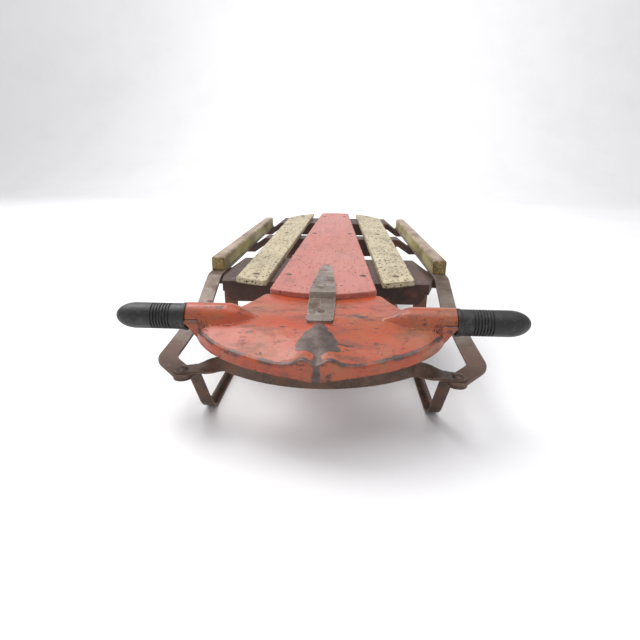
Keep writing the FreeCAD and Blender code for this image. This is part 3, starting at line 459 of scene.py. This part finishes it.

# %% [markdown]
# The steel finishes share a recipe: a base metal colour, clouds of a second tone,
# rust bloom and rubbed bright edges. The benches and their legs are one brown enamel,
# dull, with the benches near black as painted shade and the legs a light brown as
# painted light; the straps are greyed zinc that turns to rust towards the front;
# runners, bow and rivets are brown with a thin even rust.

# %% Weathered steel


def weathered_steel(name, base, second, rust, bright, rust_low, metallic, rough, edge_amount,
                    rust_front=None):
    """Bare or painted steel bar after years outdoors."""
    material, tree = start(name)
    cloud = place(tree, patches, "Mask", Scale=22.0, Low=0.35, High=0.65, Detail=8.0)
    colour = blend_colours(tree, cloud, base, second)
    bloom = place(tree, patches, "Mask", Scale=48.0, Low=rust_low, High=rust_low + 0.16, Detail=10.0)
    if rust_front is not None:
        along = add(tree, "ShaderNodeSeparateXYZ")
        feed(tree, along.inputs[0], add(tree, "ShaderNodeTexCoord").outputs["Object"])
        near = ease(tree, along.outputs["Y"], rust_front + 0.035, rust_front - 0.035)
        bloom = maths(tree, "MAXIMUM", bloom, maths(tree, "MULTIPLY", near, 0.85))
    colour = blend_colours(tree, bloom, colour, rust)
    line = place(tree, scratches, "Mask", Scale=12.0, Amount=0.45)
    colour = blend_colours(tree, line, colour, bright)
    worn = place(tree, edge_wear, "Mask", Width=0.0016, Amount=edge_amount, Scale=120.0)
    colour = blend_colours(tree, maths(tree, "MULTIPLY", worn, 0.6), colour, bright)
    shine = maths(tree, "MULTIPLY", ease(tree, bloom, 0.0, 1.0, 1.0, 0.35), metallic)
    roughness = ease(tree, bloom, 0.0, 1.0, rough, min(rough + 0.25, 0.9))
    pits = place(tree, patches, "Mask", Scale=420.0, Low=0.35, High=0.7, Detail=3.0)
    relief = maths(tree, "MULTIPLY", maths(tree, "ADD", pits, cloud), 0.5)
    finish_with(tree, colour, roughness, relief, metallic=shine, depth=0.0003, rounding=0.0009)
    return material


# The benches and their legs are one brown enamel: the bench colour is near black as painted shade, and the
# leg colour is a light brown as painted light.
bench_enamel_painted_shade = weathered_steel("Brown bench enamel darkened as painted shade", tint(46, 28, 20), tint(74, 48, 38), tint(96, 58, 40),
                               tint(112, 84, 66), 0.52, 0.15, 0.55, 1.0)
leg_enamel_painted_light = weathered_steel("Brown leg enamel lightened as painted light", tint(118, 84, 62), tint(96, 68, 52), tint(128, 78, 50),
                             tint(160, 130, 104), 0.5, 0.3, 0.55, 0.9)
bar_steel = weathered_steel("Brown bar steel", tint(88, 66, 54), tint(60, 44, 36), tint(104, 68, 48),
                            tint(150, 132, 118), 0.5, 0.45, 0.42, 1.3)
strap_steel = weathered_steel("Greyed strap steel", tint(120, 108, 98), tint(84, 68, 58), tint(92, 66, 52),
                              tint(170, 160, 150), 0.52, 0.5, 0.42, 1.2, rust_front=-0.425)
fastener_steel = weathered_steel("Dark rivet steel", tint(72, 54, 46), tint(98, 80, 66), tint(96, 60, 42),
                                 tint(166, 150, 134), 0.55, 0.6, 0.42, 1.0)
tongue_steel = weathered_steel("Weathered grey plate", tint(146, 134, 124), tint(106, 92, 82),
                               tint(82, 64, 52), tint(190, 182, 172), 0.46, 0.35, 0.46, 1.6)
bush_bronze = weathered_steel("Dull bronze", tint(138, 108, 62), tint(110, 84, 48), tint(84, 66, 44),
                              tint(190, 160, 104), 0.6, 0.8, 0.4, 0.8)

# %% [markdown]
# The grips are black moulded rubber that has greyed a little on top and picked up
# dust in its texture. Rubber reflects softly, so the roughness varies about a middle
# value and a fine pebble relief breaks up the highlight.

# %% Grip rubber


def build_grip_rubber():
    """Satin black rubber with dust."""
    material, tree = start("Black grip rubber")
    cloud = place(tree, patches, "Mask", Scale=45.0, Low=0.4, High=0.65)
    dust = place(tree, patches, "Mask", Scale=160.0, Low=0.52, High=0.68)
    colour = blend_colours(tree, cloud, tint(13, 12, 13), tint(26, 25, 26))
    colour = blend_colours(tree, maths(tree, "MULTIPLY", dust, 0.3), colour, tint(86, 84, 82))
    worn = place(tree, edge_wear, "Mask", Width=0.0012, Amount=0.8, Scale=200.0)
    colour = blend_colours(tree, maths(tree, "MULTIPLY", worn, 0.3), colour, tint(90, 88, 88))
    pebble = place(tree, patches, "Mask", Scale=900.0, Low=0.3, High=0.7, Detail=2.0)
    finish_with(tree, colour, ease(tree, cloud, 0.0, 1.0, 0.36, 0.5), pebble, depth=0.00012)
    return material


grip_rubber = build_grip_rubber()
print("materials:", len(bpy.data.materials))

# %% [markdown]
# The nose is one sheet of steel, pressed hot in a die: a level plate at the back, two
# half-round arms that clasp the grip dowels, hollows that fall to a turned-down rim,
# and a sharp beak at the middle. CAD gives its outline; the soft transitions between
# those shapes are made here as a fine height grid, because subdivision of a coarse
# cage would round the arms and the beak away.
# The grid has columns across the sled and rows from the back edge to the rim, with
# the last rows curled over and down the flange.

# %% Smooth curves through a few points


def curve_through(points):
    """A smooth function through points with no overshoot between them."""
    xs = np.array([p[0] for p in points], float)
    ys = np.array([p[1] for p in points], float)
    step = np.diff(xs)
    slope = np.diff(ys) / step
    tangent = np.zeros(len(xs))
    for k in range(1, len(xs) - 1):
        if slope[k - 1] * slope[k] > 0:
            tangent[k] = 2 * slope[k - 1] * slope[k] / (slope[k - 1] + slope[k])
    tangent[-1] = slope[-1]

    def value(x):
        x = min(max(x, xs[0]), xs[-1])
        k = min(int(np.searchsorted(xs, x, side="right")) - 1, len(step) - 1)
        t = (x - xs[k]) / step[k]
        h = step[k]
        return (ys[k] * (2 * t**3 - 3 * t**2 + 1) + tangent[k] * h * (t**3 - 2 * t**2 + t)
                + ys[k + 1] * (3 * t**2 - 2 * t**3) + tangent[k + 1] * h * (t**3 - t**2))

    return value


def soft_step(t):
    """From 0 to 1 with level ends."""
    t = min(max(t, 0.0), 1.0)
    return t * t * (3 - 2 * t)


def soft_top(a, b, k):
    """The higher of two heights with a fillet of size k."""
    h = max(k - abs(a - b), 0.0) / k
    return max(a, b) + h * h * k / 4


# %% Shape of the nose
ARM_RADIUS = 15.0 * MM
ARM_END = 161.9 * MM
PLATE_RISE = 0.075
CURL = 2.0 * MM
SHEET = 1.8 * MM
plate_z = nose_high.z - ARM_RADIUS - 1.4 * MM
tip_y = nose_low.y
outline = curve_through([(0, 0), (32, 6), (52, 12.5), (85, 25), (120, 43), (138, 60), (153, 80),
                         (170, 100)])
back_line = curve_through([(0, 167), (77, 167), (89, 143), (106, 114), (122, 104), (142, 101),
                           (170, 101)])
rim_line = curve_through([(0, 121.5), (6, 124), (14, 127.5), (26, 121.5), (45, 118), (63, 119), (86, 121.5),
                          (107, 124), (128, 129), (150, 134), (166, 143)])
rim_base = curve_through([(0, 117), (45, 118), (63, 119), (86, 121.5), (107, 124), (128, 129),
                          (150, 134), (166, 143)])
hem_line = curve_through([(0, 104), (30, 106), (75, 108), (107, 112), (121, 115), (138, 119), (146, 124),
                          (151, 129), (155, 135), (162, 143)])


def plate_height(y):
    """Top of the flat part of the sheet, which rises gently towards the deck."""
    return plate_z + PLATE_RISE * max(y - (core_right.y - 6 * MM), 0.0)


def nose_point(x, share):
    """Place on the top of the sheet: share 0 at the back edge, 1 at the rim."""
    across = abs(x) / MM
    back = tip_y + back_line(across) * MM
    front = min(tip_y + outline(across) * MM, core_right.y - ARM_RADIUS - 0.5 * MM)
    y = back + (front - back) * share
    fall_from = core_right.y + 2 * MM
    t = min(max((fall_from - y) / max(fall_from - front, 4 * MM), 0.0), 1.0)
    depth = plate_z - rim_base(across) * MM
    z = plate_height(y) - depth * (0.30 * t + 0.70 * t**1.7)
    z += (rim_line(across) - rim_base(across)) * MM * t**3.5
    fold = 5.0 * MM * math.exp(-((across / 15.0) ** 1.3)) * soft_step(t / 0.35) * (1 - t**3)
    z += fold
    lip = 0.9 * MM * math.exp(-(((front - y) / (3.2 * MM)) ** 2))
    z += lip
    radius = ARM_RADIUS * soft_step((across - 70.0) / 42.0)
    d = abs(y - core_right.y)
    if radius > 1 * MM:
        crown = radius * max(1 - (d / radius) ** 2, 0.0) ** 0.5 if d < radius else -(d - radius) * 2.5
        lift = plate_z + 1.4 * MM + crown
        arm_low = plate_z - 3 * MM
        if lift > arm_low:
            z = soft_top(z, lift, 5 * MM)
    return y, z


def mesh_piece(name, points, faces, smooth=True):
    """A mesh object from plain lists."""
    mesh = bpy.data.meshes.new(name)
    mesh.from_pydata([tuple(p) for p in points], [], faces)
    mesh.validate()
    for polygon in mesh.polygons:
        polygon.use_smooth = smooth
    piece = bpy.data.objects.new(name, mesh)
    bpy.context.scene.collection.objects.link(piece)
    return piece


def crisp(piece, width):
    """Small bevels and shading that keeps flats flat."""
    bevel = piece.modifiers.new("Rolled edge", "BEVEL")
    bevel.width = width
    bevel.segments = 2
    bevel.limit_method = "ANGLE"
    bevel.angle_limit = math.radians(40)
    bevel.harden_normals = True
    weighted = piece.modifiers.new("Even shading", "WEIGHTED_NORMAL")
    weighted.keep_sharp = True


def build_nose():
    """The pressed sheet as one curved grid with thickness."""
    columns = np.linspace(-ARM_END, ARM_END, 241)
    shares = np.linspace(0, 1, 97)
    curl = [math.radians(a) for a in (18, 36, 54, 72, 90)]
    drops = (0.2, 0.4, 0.6, 0.8, 1.0)
    points = []
    rim_distance = []
    for x in columns:
        for share in shares:
            y, z = nose_point(x, share)
            points.append((x, y + CURL, z))
        y_rim, z_rim = nose_point(x, 1.0)
        hem = min(hem_line(abs(x) / MM) * MM, z_rim - CURL - 0.5 * MM)
        for angle in curl:
            points.append((x, y_rim + CURL - CURL * math.sin(angle), z_rim - CURL * (1 - math.cos(angle))))
        for drop in drops:
            points.append((x, y_rim, (z_rim - CURL) + (hem - z_rim + CURL) * drop))
    rows = len(shares) + len(curl) + len(drops)
    for k in range(len(columns)):
        rim_y = points[k * rows + len(shares) - 1]
        for j in range(rows):
            p = points[k * rows + j]
            away = math.dist(p, rim_y)
            rim_distance.append(away if j < len(shares) else -away)
    faces = [(i * rows + j, i * rows + j + 1, (i + 1) * rows + j + 1, (i + 1) * rows + j)
             for i in range(len(columns) - 1) for j in range(rows - 1)]
    piece = mesh_piece("nose_sheet", points, faces)
    attribute = piece.data.attributes.new("rim_distance", "FLOAT", "POINT")
    attribute.data.foreach_set("value", np.array(rim_distance, np.float32))
    piece.data.flip_normals()
    thick = piece.modifiers.new("Thickness", "SOLIDIFY")
    thick.thickness = SHEET
    thick.offset = -1.0
    return piece


nose = build_nose()
print("nose sheet:", len(nose.data.vertices), "points")

# %% [markdown]
# The nose wears a richer red than the deck: orange enamel with darker brush marks
# where it has been scuffed, bare grey steel along the rim where it meets kerbs and
# snow, and a rubbed bare patch on the ridge in front of the pivot. The patch is given
# by the place on the sheet and broken up by noise, so it has a ragged outline.

# %% Nose enamel


def build_nose_enamel():
    """Orange-red enamel, worn through at the rim and on the ridge."""
    material, tree = start("Orange red nose enamel")
    spot = add(tree, "ShaderNodeSeparateXYZ")
    feed(tree, spot.inputs[0], add(tree, "ShaderNodeTexCoord").outputs["Object"])
    cloud = place(tree, patches, "Mask", Scale=11.0, Low=0.36, High=0.64, Detail=8.0)
    colour = blend_colours(tree, cloud, tint(170, 64, 30), tint(160, 76, 46))
    brown = place(tree, patches, "Mask", Scale=17.0, Stretch=(1.0, 1.4, 1.0), Low=0.44, High=0.66, Detail=9.0)
    colour = blend_colours(tree, maths(tree, "MULTIPLY", brown, 0.6), colour, tint(146, 92, 56))
    scuff = place(tree, patches, "Mask", Scale=42.0, Stretch=(0.6, 1.6, 1.0), Low=0.48, High=0.68,
                  Detail=14.0)
    colour = blend_colours(tree, maths(tree, "MULTIPLY", scuff, 0.6), colour, tint(88, 60, 50))
    line = place(tree, scratches, "Mask", Scale=15.0, Amount=1.0)
    colour = blend_colours(tree, line, colour, tint(60, 44, 42))
    second_line = place(tree, scratches, "Mask", Scale=31.0, Amount=0.8)
    colour = blend_colours(tree, second_line, colour, tint(66, 48, 44))
    specks = place(tree, chips, "Mask", Scale=240.0, Size=0.3, Amount=0.5)
    here = place(tree, patches, "Mask", Scale=24.0, Low=0.46, High=0.58)
    specks = maths(tree, "MULTIPLY", specks, here)
    nicks = place(tree, patches, "Mask", Scale=120.0, Stretch=(0.45, 1.2, 1.0), Low=0.59, High=0.63,
                  Detail=12.0)
    specks = maths(tree, "MAXIMUM", specks, maths(tree, "MULTIPLY", nicks, 0.8))
    colour = blend_colours(tree, specks, colour, tint(52, 38, 36))
    rim = add(tree, "ShaderNodeAttribute", attribute_name="rim_distance").outputs["Fac"]
    ragged = add(tree, "ShaderNodeTexNoise")
    ragged.inputs["Scale"].default_value = 70.0
    ragged.inputs["Detail"].default_value = 6.0
    feed(tree, ragged.inputs["Vector"], add(tree, "ShaderNodeTexCoord").outputs["Object"])
    wander = maths(tree, "SUBTRACT", ragged.outputs["Fac"], 0.5)
    near_rim = maths(tree, "ADD", maths(tree, "ABSOLUTE", rim), maths(tree, "MULTIPLY", wander, 0.009))
    rim_bare = ease(tree, near_rim, 0.0034, 0.0004)
    aside = maths(tree, "ABSOLUTE", spot.outputs["X"])
    forward = maths(tree, "SUBTRACT", core_right.y - 0.012, spot.outputs["Y"])
    half = maths(tree, "MULTIPLY", ease(tree, forward, -0.012, 0.046), 0.026)
    taper = ease(tree, forward, 0.060, 0.048, 0.2, 1.0)
    half = maths(tree, "MULTIPLY", half, taper)
    ragged_half = maths(tree, "ADD", half, maths(tree, "MULTIPLY", wander, 0.016))
    inside = maths(tree, "SUBTRACT", ragged_half, aside)
    patch = ease(tree, inside, -0.0006, 0.0016)
    patch = maths(tree, "MULTIPLY", patch, ease(tree, forward, 0.0, 0.004))
    bare = maths(tree, "MAXIMUM", rim_bare, patch)
    worn = place(tree, edge_wear, "Mask", Width=0.002, Amount=1.0, Scale=90.0)
    bare = maths(tree, "MAXIMUM", bare, maths(tree, "MULTIPLY", worn, 0.8))
    steel_cloud = place(tree, patches, "Mask", Scale=60.0, Low=0.35, High=0.65)
    steel = blend_colours(tree, steel_cloud, tint(98, 84, 80), tint(70, 58, 54))
    colour = blend_colours(tree, bare, colour, steel)
    roughness = ease(tree, maths(tree, "MAXIMUM", scuff, bare), 0.0, 1.0, 0.3, 0.46)
    dents = place(tree, patches, "Mask", Scale=28.0, Low=0.2, High=0.8, Detail=3.0)
    sunk = maths(tree, "MULTIPLY", maths(tree, "MAXIMUM", bare, specks), 0.25)
    relief = maths(tree, "SUBTRACT", dents, sunk)
    finish_with(tree, colour, roughness, relief, metallic=maths(tree, "MULTIPLY", bare, 0.5), depth=0.0006,
                rounding=0.0)
    return material


nose_enamel = build_nose_enamel()
nose.data.materials.append(nose_enamel)
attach(nose, "nose")
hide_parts("steering_nose")

# %% [markdown]
# The tongue is a grey plate riveted to the board. It steps down over the board's front
# edge and lies close over the sloping sheet, so it is built from the same height as
# the sheet. The bolt and bush of the pivot end just under and in it.

# %% Tongue and pivot
LIFT = 1.2 * MM
TONGUE_THICK = 3.0 * MM
BOLT_RADIUS = 5.0 * MM
BOLT_PROUD = 0.5 * MM
tongue_low, tongue_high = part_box("steering_tongue")
tongue_half = curve_through([(-510, 16.0), (-437, 17.6), (-322, 12.4), (-290, 9.6), (-250, 6.6)])
step_y = deck_low.y - 4 * MM


def tongue_width(y):
    """Half width of the tongue, with a round rear end and round front corners."""
    half = tongue_half(y / MM) * MM
    behind = tongue_high.y - y
    ahead = y - tongue_low.y
    round_rear = 7 * MM
    round_front = 5 * MM
    if behind < round_rear:
        half *= max(1 - (1 - behind / round_rear) ** 2, 0.02) ** 0.5
    if ahead < round_front:
        half -= round_front - max(round_front**2 - (round_front - ahead) ** 2, 0) ** 0.5
    return half


def tongue_top(y):
    """Height of the tongue's top: on the board behind the step, over the sheet in front."""
    front = plate_height(y) + LIFT + TONGUE_THICK
    board = deck_high.z + TONGUE_THICK
    return front + (board - front) * soft_step((y - step_y) / (5 * MM))


def build_tongue():
    """The plate, with the raised lip pressed across it."""
    ys = np.unique(np.concatenate([np.linspace(tongue_low.y, tongue_low.y + 5 * MM, 9),
                                   np.linspace(tongue_low.y + 5 * MM, tongue_high.y - 7 * MM, 150),
                                   np.linspace(tongue_high.y - 7 * MM, tongue_high.y, 9)]))
    shares = np.linspace(-1, 1, 9)
    lip_y = tongue_high.y - 62 * MM
    points = []
    for y in ys:
        ridge = 1.6 * MM * math.exp(-(((y - lip_y) / (4 * MM)) ** 4))
        points += [(tongue_width(y) * share, y, tongue_top(y) + ridge) for share in shares]
    n = len(shares)
    faces = [(i * n + j, i * n + j + 1, (i + 1) * n + j + 1, (i + 1) * n + j)
             for i in range(len(ys) - 1) for j in range(n - 1)]
    plate = mesh_piece("tongue_plate", points, faces)
    thick = plate.modifiers.new("Thickness", "SOLIDIFY")
    thick.thickness = TONGUE_THICK
    thick.offset = -1.0
    crisp(plate, 0.5 * MM)
    return plate


def upright(name, x, y, radius, low, high):
    """A plain round pin."""
    shape = bmesh.new()
    bmesh.ops.create_cone(shape, cap_ends=True, segments=40, radius1=radius, radius2=radius,
                          depth=high - low, matrix=Matrix.Translation((x, y, (low + high) / 2)))
    mesh = bpy.data.meshes.new(name)
    shape.to_mesh(mesh)
    shape.free()
    piece = bpy.data.objects.new(name, mesh)
    bpy.context.scene.collection.objects.link(piece)
    return piece


tongue = build_tongue()
tongue.data.materials.append(tongue_steel)
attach(tongue, "frame")
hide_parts("steering_tongue")
bush_low, bush_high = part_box("pivot_bush")
bolt_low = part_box("pivot_bolt")[0]
pivot = middle("pivot_bush")
sheet_top = plate_height(pivot.y)
bush_radius = (bush_high.x - bush_low.x) / 2
bush = upright("short_bush", pivot.x, pivot.y, bush_radius, bush_low.z, sheet_top + LIFT / 2)
bush.data.materials.append(bush_bronze)
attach(bush, "nose")
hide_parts("pivot_bush")
bolt_top = sheet_top + LIFT + TONGUE_THICK + BOLT_PROUD
bolt = upright("short_bolt", pivot.x, pivot.y, BOLT_RADIUS, bolt_low.z, bolt_top)
bolt.data.materials.append(fastener_steel)
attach(bolt, "frame")
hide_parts("pivot_bolt")
print("tongue", len(tongue.data.vertices), "points; sheet at the pivot", round(sheet_top, 4))

# %% [markdown]
# The side straps and runners flex when the nose is steered: their front ends follow the
# bow while the rest stays with the deck. A CAD mesh has no points along a
# straight bar to bend at, so both are swept here from a section and a path with a
# point every few millimetres.

# %% Sweeping a bar


def rounded_corner(before, corner, after, radius, count=9):
    """Points of a round bend at a corner of a path."""
    a = (before - corner).normalized()
    b = (after - corner).normalized()
    half = a.angle(b) / 2
    reach = radius / math.tan(half)
    centre = corner + (a + b).normalized() * (radius / math.sin(half))
    first = corner + a * reach - centre
    last = corner + b * reach - centre
    whole = first.angle(last)
    return [centre + (first * math.sin(whole * (1 - t)) + last * math.sin(whole * t)) / math.sin(whole)
            for t in np.linspace(0, 1, count)]


def filled_in(path, step):
    """The same path with more points on its long runs."""
    points = [path[0]]
    for point in path[1:]:
        run = (point - points[-1]).length
        count = max(int(run / step), 1)
        start_point = points[-1].copy()
        for k in range(1, count + 1):
            points.append(start_point.lerp(point, k / count))
    return points


def sweep(name, path, section, side_of):
    """A closed bar: the section, a list of (across, up), carried along a path."""
    points = []
    for k, point in enumerate(path):
        along = (path[min(k + 1, len(path) - 1)] - path[max(k - 1, 0)]).normalized()
        side = side_of(along)
        up = side.cross(along).normalized()
        if up.z < 0:
            up = -up
        points += [point + side * a + up * b for a, b in section(k)]
    n = len(section(0))
    faces = [(k * n + j, k * n + (j + 1) % n, (k + 1) * n + (j + 1) % n, (k + 1) * n + j)
             for k in range(len(path) - 1) for j in range(n)]
    faces += [tuple(range(n - 1, -1, -1)), tuple((len(path) - 1) * n + j for j in range(n))]
    return mesh_piece(name, points, faces)


# %% Side straps
STRAP_WIDTH = 25.0 * MM
STRAP_THICK = 4.0 * MM
strap_x = strap_high.x - STRAP_WIDTH / 2
strap_height = curve_through([(-560, 80), (-482, 80), (-470, 80.4), (-310, 96.6), (-296, 100), (-282, 106.3),
                              (-240, 125.0), (-226, 130.4), (-212, 131.3), (600, 131.3)])


def build_strap(label, sign):
    """Flat bar under the rail that slopes down and bends in to the corner rivet."""
    rear = Vector((strap_x, strap_high.y, 0))
    turn = Vector((strap_x, -482 * MM, 0))
    end = Vector((corner_right.x, corner_right.y, 0))
    beyond = end + (end - turn).normalized() * (STRAP_WIDTH / 2)
    flat = [rear] + rounded_corner(rear, turn, end, 40 * MM) + [end, beyond]
    flat = filled_in(flat, 5 * MM)
    path = [Vector((p.x * sign, p.y, strap_height(p.y / MM) * MM + STRAP_THICK / 2)) for p in flat]

    def section(k):
        left = (beyond - flat[k]).length
        half = STRAP_WIDTH / 2
        if left < half:
            half = max(math.sqrt(max(half * half - (half - left) ** 2, 0)), 0.8 * MM)
        back = flat[0].y - flat[k].y
        if back < half:
            half = max(math.sqrt(max(half * half - (half - back) ** 2, 0)), 0.8 * MM)
        t = STRAP_THICK / 2
        return [(-half, -t), (half, -t), (half, t), (-half, t)]

    def side_of(along):
        return Vector((-along.y, along.x, 0)).normalized()

    strap = sweep("strap_bar_" + label, path, section, side_of)
    crisp(strap, 0.8 * MM)
    return strap


# %% Runners
EAR_RADIUS = 11.5 * MM
EAR_THICK = 4.0 * MM
NECK_WIDTH = 13.0 * MM


def add_ear(bar, centre, leg_top):
    """The flat round end of the runner under the corner rivet, with its neck to the leg."""
    ear = bmesh.new()
    ear.from_mesh(bar.data)
    bmesh.ops.create_cone(ear, cap_ends=True, segments=40, radius1=EAR_RADIUS, radius2=EAR_RADIUS,
                          depth=EAR_THICK, matrix=Matrix.Translation(centre))
    neck = (centre + leg_top) / 2
    length = (centre - leg_top).length + 10 * MM
    turn = math.atan2(leg_top.y - centre.y, leg_top.x - centre.x)
    turned = Matrix.Rotation(turn, 4, "Z")
    shape = Matrix.Diagonal((length, NECK_WIDTH, EAR_THICK, 1))
    bmesh.ops.create_cube(ear, size=1.0,
                          matrix=Matrix.Translation((neck.x, neck.y, centre.z)) @ turned @ shape)
    ear.to_mesh(bar.data)
    ear.free()


RUNNER_X = runner_low.x + 8 * MM
FOOT = [(-8, 0), (8, 0), (8, 3), (1.5, 3), (1.5, 13), (-1.5, 13), (-1.5, 3), (-8, 3)]


def build_runner(label, sign):
    """Inverted T bar on the ground, turned up at both ends, with a flat ear in front."""
    tail = Vector((RUNNER_X, runner_high.y, 26 * MM))
    heel = Vector((RUNNER_X, 538 * MM, 0))
    toe = Vector((RUNNER_X, -468 * MM, 0))
    top = Vector((corner_right.x - 9 * MM, corner_right.y + 12 * MM, 78 * MM))
    flat = [tail] + rounded_corner(tail, heel, toe, 60 * MM)
    flat += rounded_corner(heel, toe, top, 40 * MM, 15) + [top]
    path = [Vector((p.x * sign, p.y, p.z)) for p in filled_in(flat, 8 * MM)]
    across = Vector((1, 0, 0))

    def side_of(along):
        return (across - along * across.dot(along)).normalized()

    bar = sweep("runner_bar_" + label, path, lambda k: [(a * MM, b * MM) for a, b in FOOT], side_of)
    add_ear(bar, Vector((corner_right.x * sign, corner_right.y, 78 * MM)), path[-1])
    crisp(bar, 0.6 * MM)
    return bar


for label, sign in SIDES.items():
    strap = build_strap(label, sign)
    strap.data.materials.append(strap_steel)
    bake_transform(strap)
    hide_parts("side_strap_" + label)
    bar = build_runner(label, sign)
    bar.data.materials.append(bar_steel)
    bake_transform(bar)
    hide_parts("runner_" + label)
print("straps and runners swept")

# %% [markdown]
# Everything else keeps its CAD mesh. Each node is given the finish of the material
# it is made of; a few nodes share a slot but get different colours, such as the legs
# with painted light and the benches with painted shade, so the table names the nodes
# rather than the slots.

# %% Finishes for the CAD nodes
finishes = {
    "centre_board": red_board, "slat": cream_slat, "side_rail": rail_finish, "bench": bench_enamel_painted_shade,
    "knee_rivets": fastener_steel, "knee": leg_enamel_painted_light, "deck_rivets": fastener_steel,
    "rail_screws": fastener_steel, "front_bow": bar_steel, "bow_bracket": bar_steel,
    "corner_rivets": bar_steel, "handle_core": dowel_finish, "handle_pins": fastener_steel,
    "grip": grip_rubber, "link_plate": bench_enamel_painted_shade, "link_rivets": fastener_steel,
    "drive_stud": fastener_steel, "pivot_bush": bush_bronze, "pivot": fastener_steel,
    "steering_tongue": tongue_steel, "tongue_rivets": tongue_steel, "runner": bar_steel,
    "side_strap": strap_steel, "steering_nose": nose_enamel,
}
for name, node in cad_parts.items():
    key = max((k for k in finishes if name.startswith(k)), key=len)
    node.data.materials.clear()
    node.data.materials.append(finishes[key])
print("finished", len(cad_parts), "nodes")

# %% [markdown]
# The studio is a pale floor that sweeps up into a wall, with no visible join. One
# large soft light stands to the left and a bit behind, and a white surround fills
# the shadows, so the sled casts only a faint shadow beneath it.

# %% Floor and backdrop


def build_studio():
    """A floor that curves up into a wall."""
    width = 9.0
    depth_points = [(-5.0, 0.0), (3.2, 0.0)]
    for angle in np.linspace(0, math.pi / 2, 13):
        depth_points.append((3.2 + 1.5 * math.sin(angle), 1.5 - 1.5 * math.cos(angle)))
    depth_points.append((4.7, 6.0))
    points = [(x, y, z) for y, z in depth_points for x in (-width, width)]
    faces = [(2 * k, 2 * k + 1, 2 * k + 3, 2 * k + 2) for k in range(len(depth_points) - 1)]
    floor = mesh_piece("studio_floor", points, faces)
    material, tree = start("Pale studio floor")
    scuffs = place(tree, patches, "Mask", Scale=2.0, Low=0.4, High=0.7)
    colour = blend_colours(tree, scuffs, tint(238, 237, 237), tint(234, 233, 234))
    finish_with(tree, colour, ease(tree, scuffs, 0.0, 1.0, 0.5, 0.56))
    floor.data.materials.append(material)


build_studio()

# %% Lights


def soft_light(name, place_at, look_at, size, power, colour=(1.0, 1.0, 1.0)):
    """A square soft light aimed at a point."""
    lamp = bpy.data.lights.new(name, "AREA")
    lamp.shape = "SQUARE"
    lamp.size = size
    lamp.energy = power
    lamp.color = colour
    holder = bpy.data.objects.new(name, lamp)
    holder.location = place_at
    direction = Vector(look_at) - Vector(place_at)
    holder.rotation_euler = direction.to_track_quat("-Z", "Y").to_euler()
    bpy.context.scene.collection.objects.link(holder)


soft_light("key_light", (-1.6, 0.6, 2.6), (0, 0.1, 0.1), 2.2, 75)
soft_light("top_light", (0.4, -0.6, 3.2), (0, 0, 0), 2.6, 40)
soft_light("wall_light", (0, 2.2, 2.4), (0, 4.7, 1.0), 2.5, 34)
surround = bpy.data.worlds.new("studio_surround")
surround.use_nodes = True
surround.node_tree.nodes["Background"].inputs["Color"].default_value = (0.96, 0.97, 1.0, 1.0)
surround.node_tree.nodes["Background"].inputs["Strength"].default_value = 0.75
bpy.context.scene.world = surround
bpy.context.scene.view_settings.view_transform = "Standard"

# %% [markdown]
# The camera stands in front of the nose, a little above it, with a fairly wide lens,
# so the deck narrows strongly towards the tail. Its three turns are given as yaw,
# pitch and roll, and its axes are worked out from them.

# %% Camera
CAMERA_PLACE = Vector((23.7 * MM, -1020.0 * MM, 326.6 * MM))
YAW = 0.045
PITCH = 0.333
ROLL = 0.009
SENSOR = 36.0
LENS = 25.875

forward = Vector((-math.sin(YAW), math.cos(YAW), 0))
right = Vector((math.cos(YAW), math.sin(YAW), 0))
view = forward * math.cos(PITCH) - Vector((0, 0, 1)) * math.sin(PITCH)
top = forward * math.sin(PITCH) + Vector((0, 0, 1)) * math.cos(PITCH)
tilted_right = right * math.cos(ROLL) + top * math.sin(ROLL)
tilted_top = top * math.cos(ROLL) - right * math.sin(ROLL)
camera_data = bpy.data.cameras.new("camera")
camera_data.sensor_width = SENSOR
camera_data.lens = LENS
camera = bpy.data.objects.new("camera", camera_data)
turn = Matrix((tilted_right, tilted_top, -view)).transposed().to_4x4()
camera.matrix_world = Matrix.Translation(CAMERA_PLACE) @ turn
bpy.context.scene.collection.objects.link(camera)
bpy.context.scene.camera = camera
print("camera looks along", [round(v, 3) for v in view])
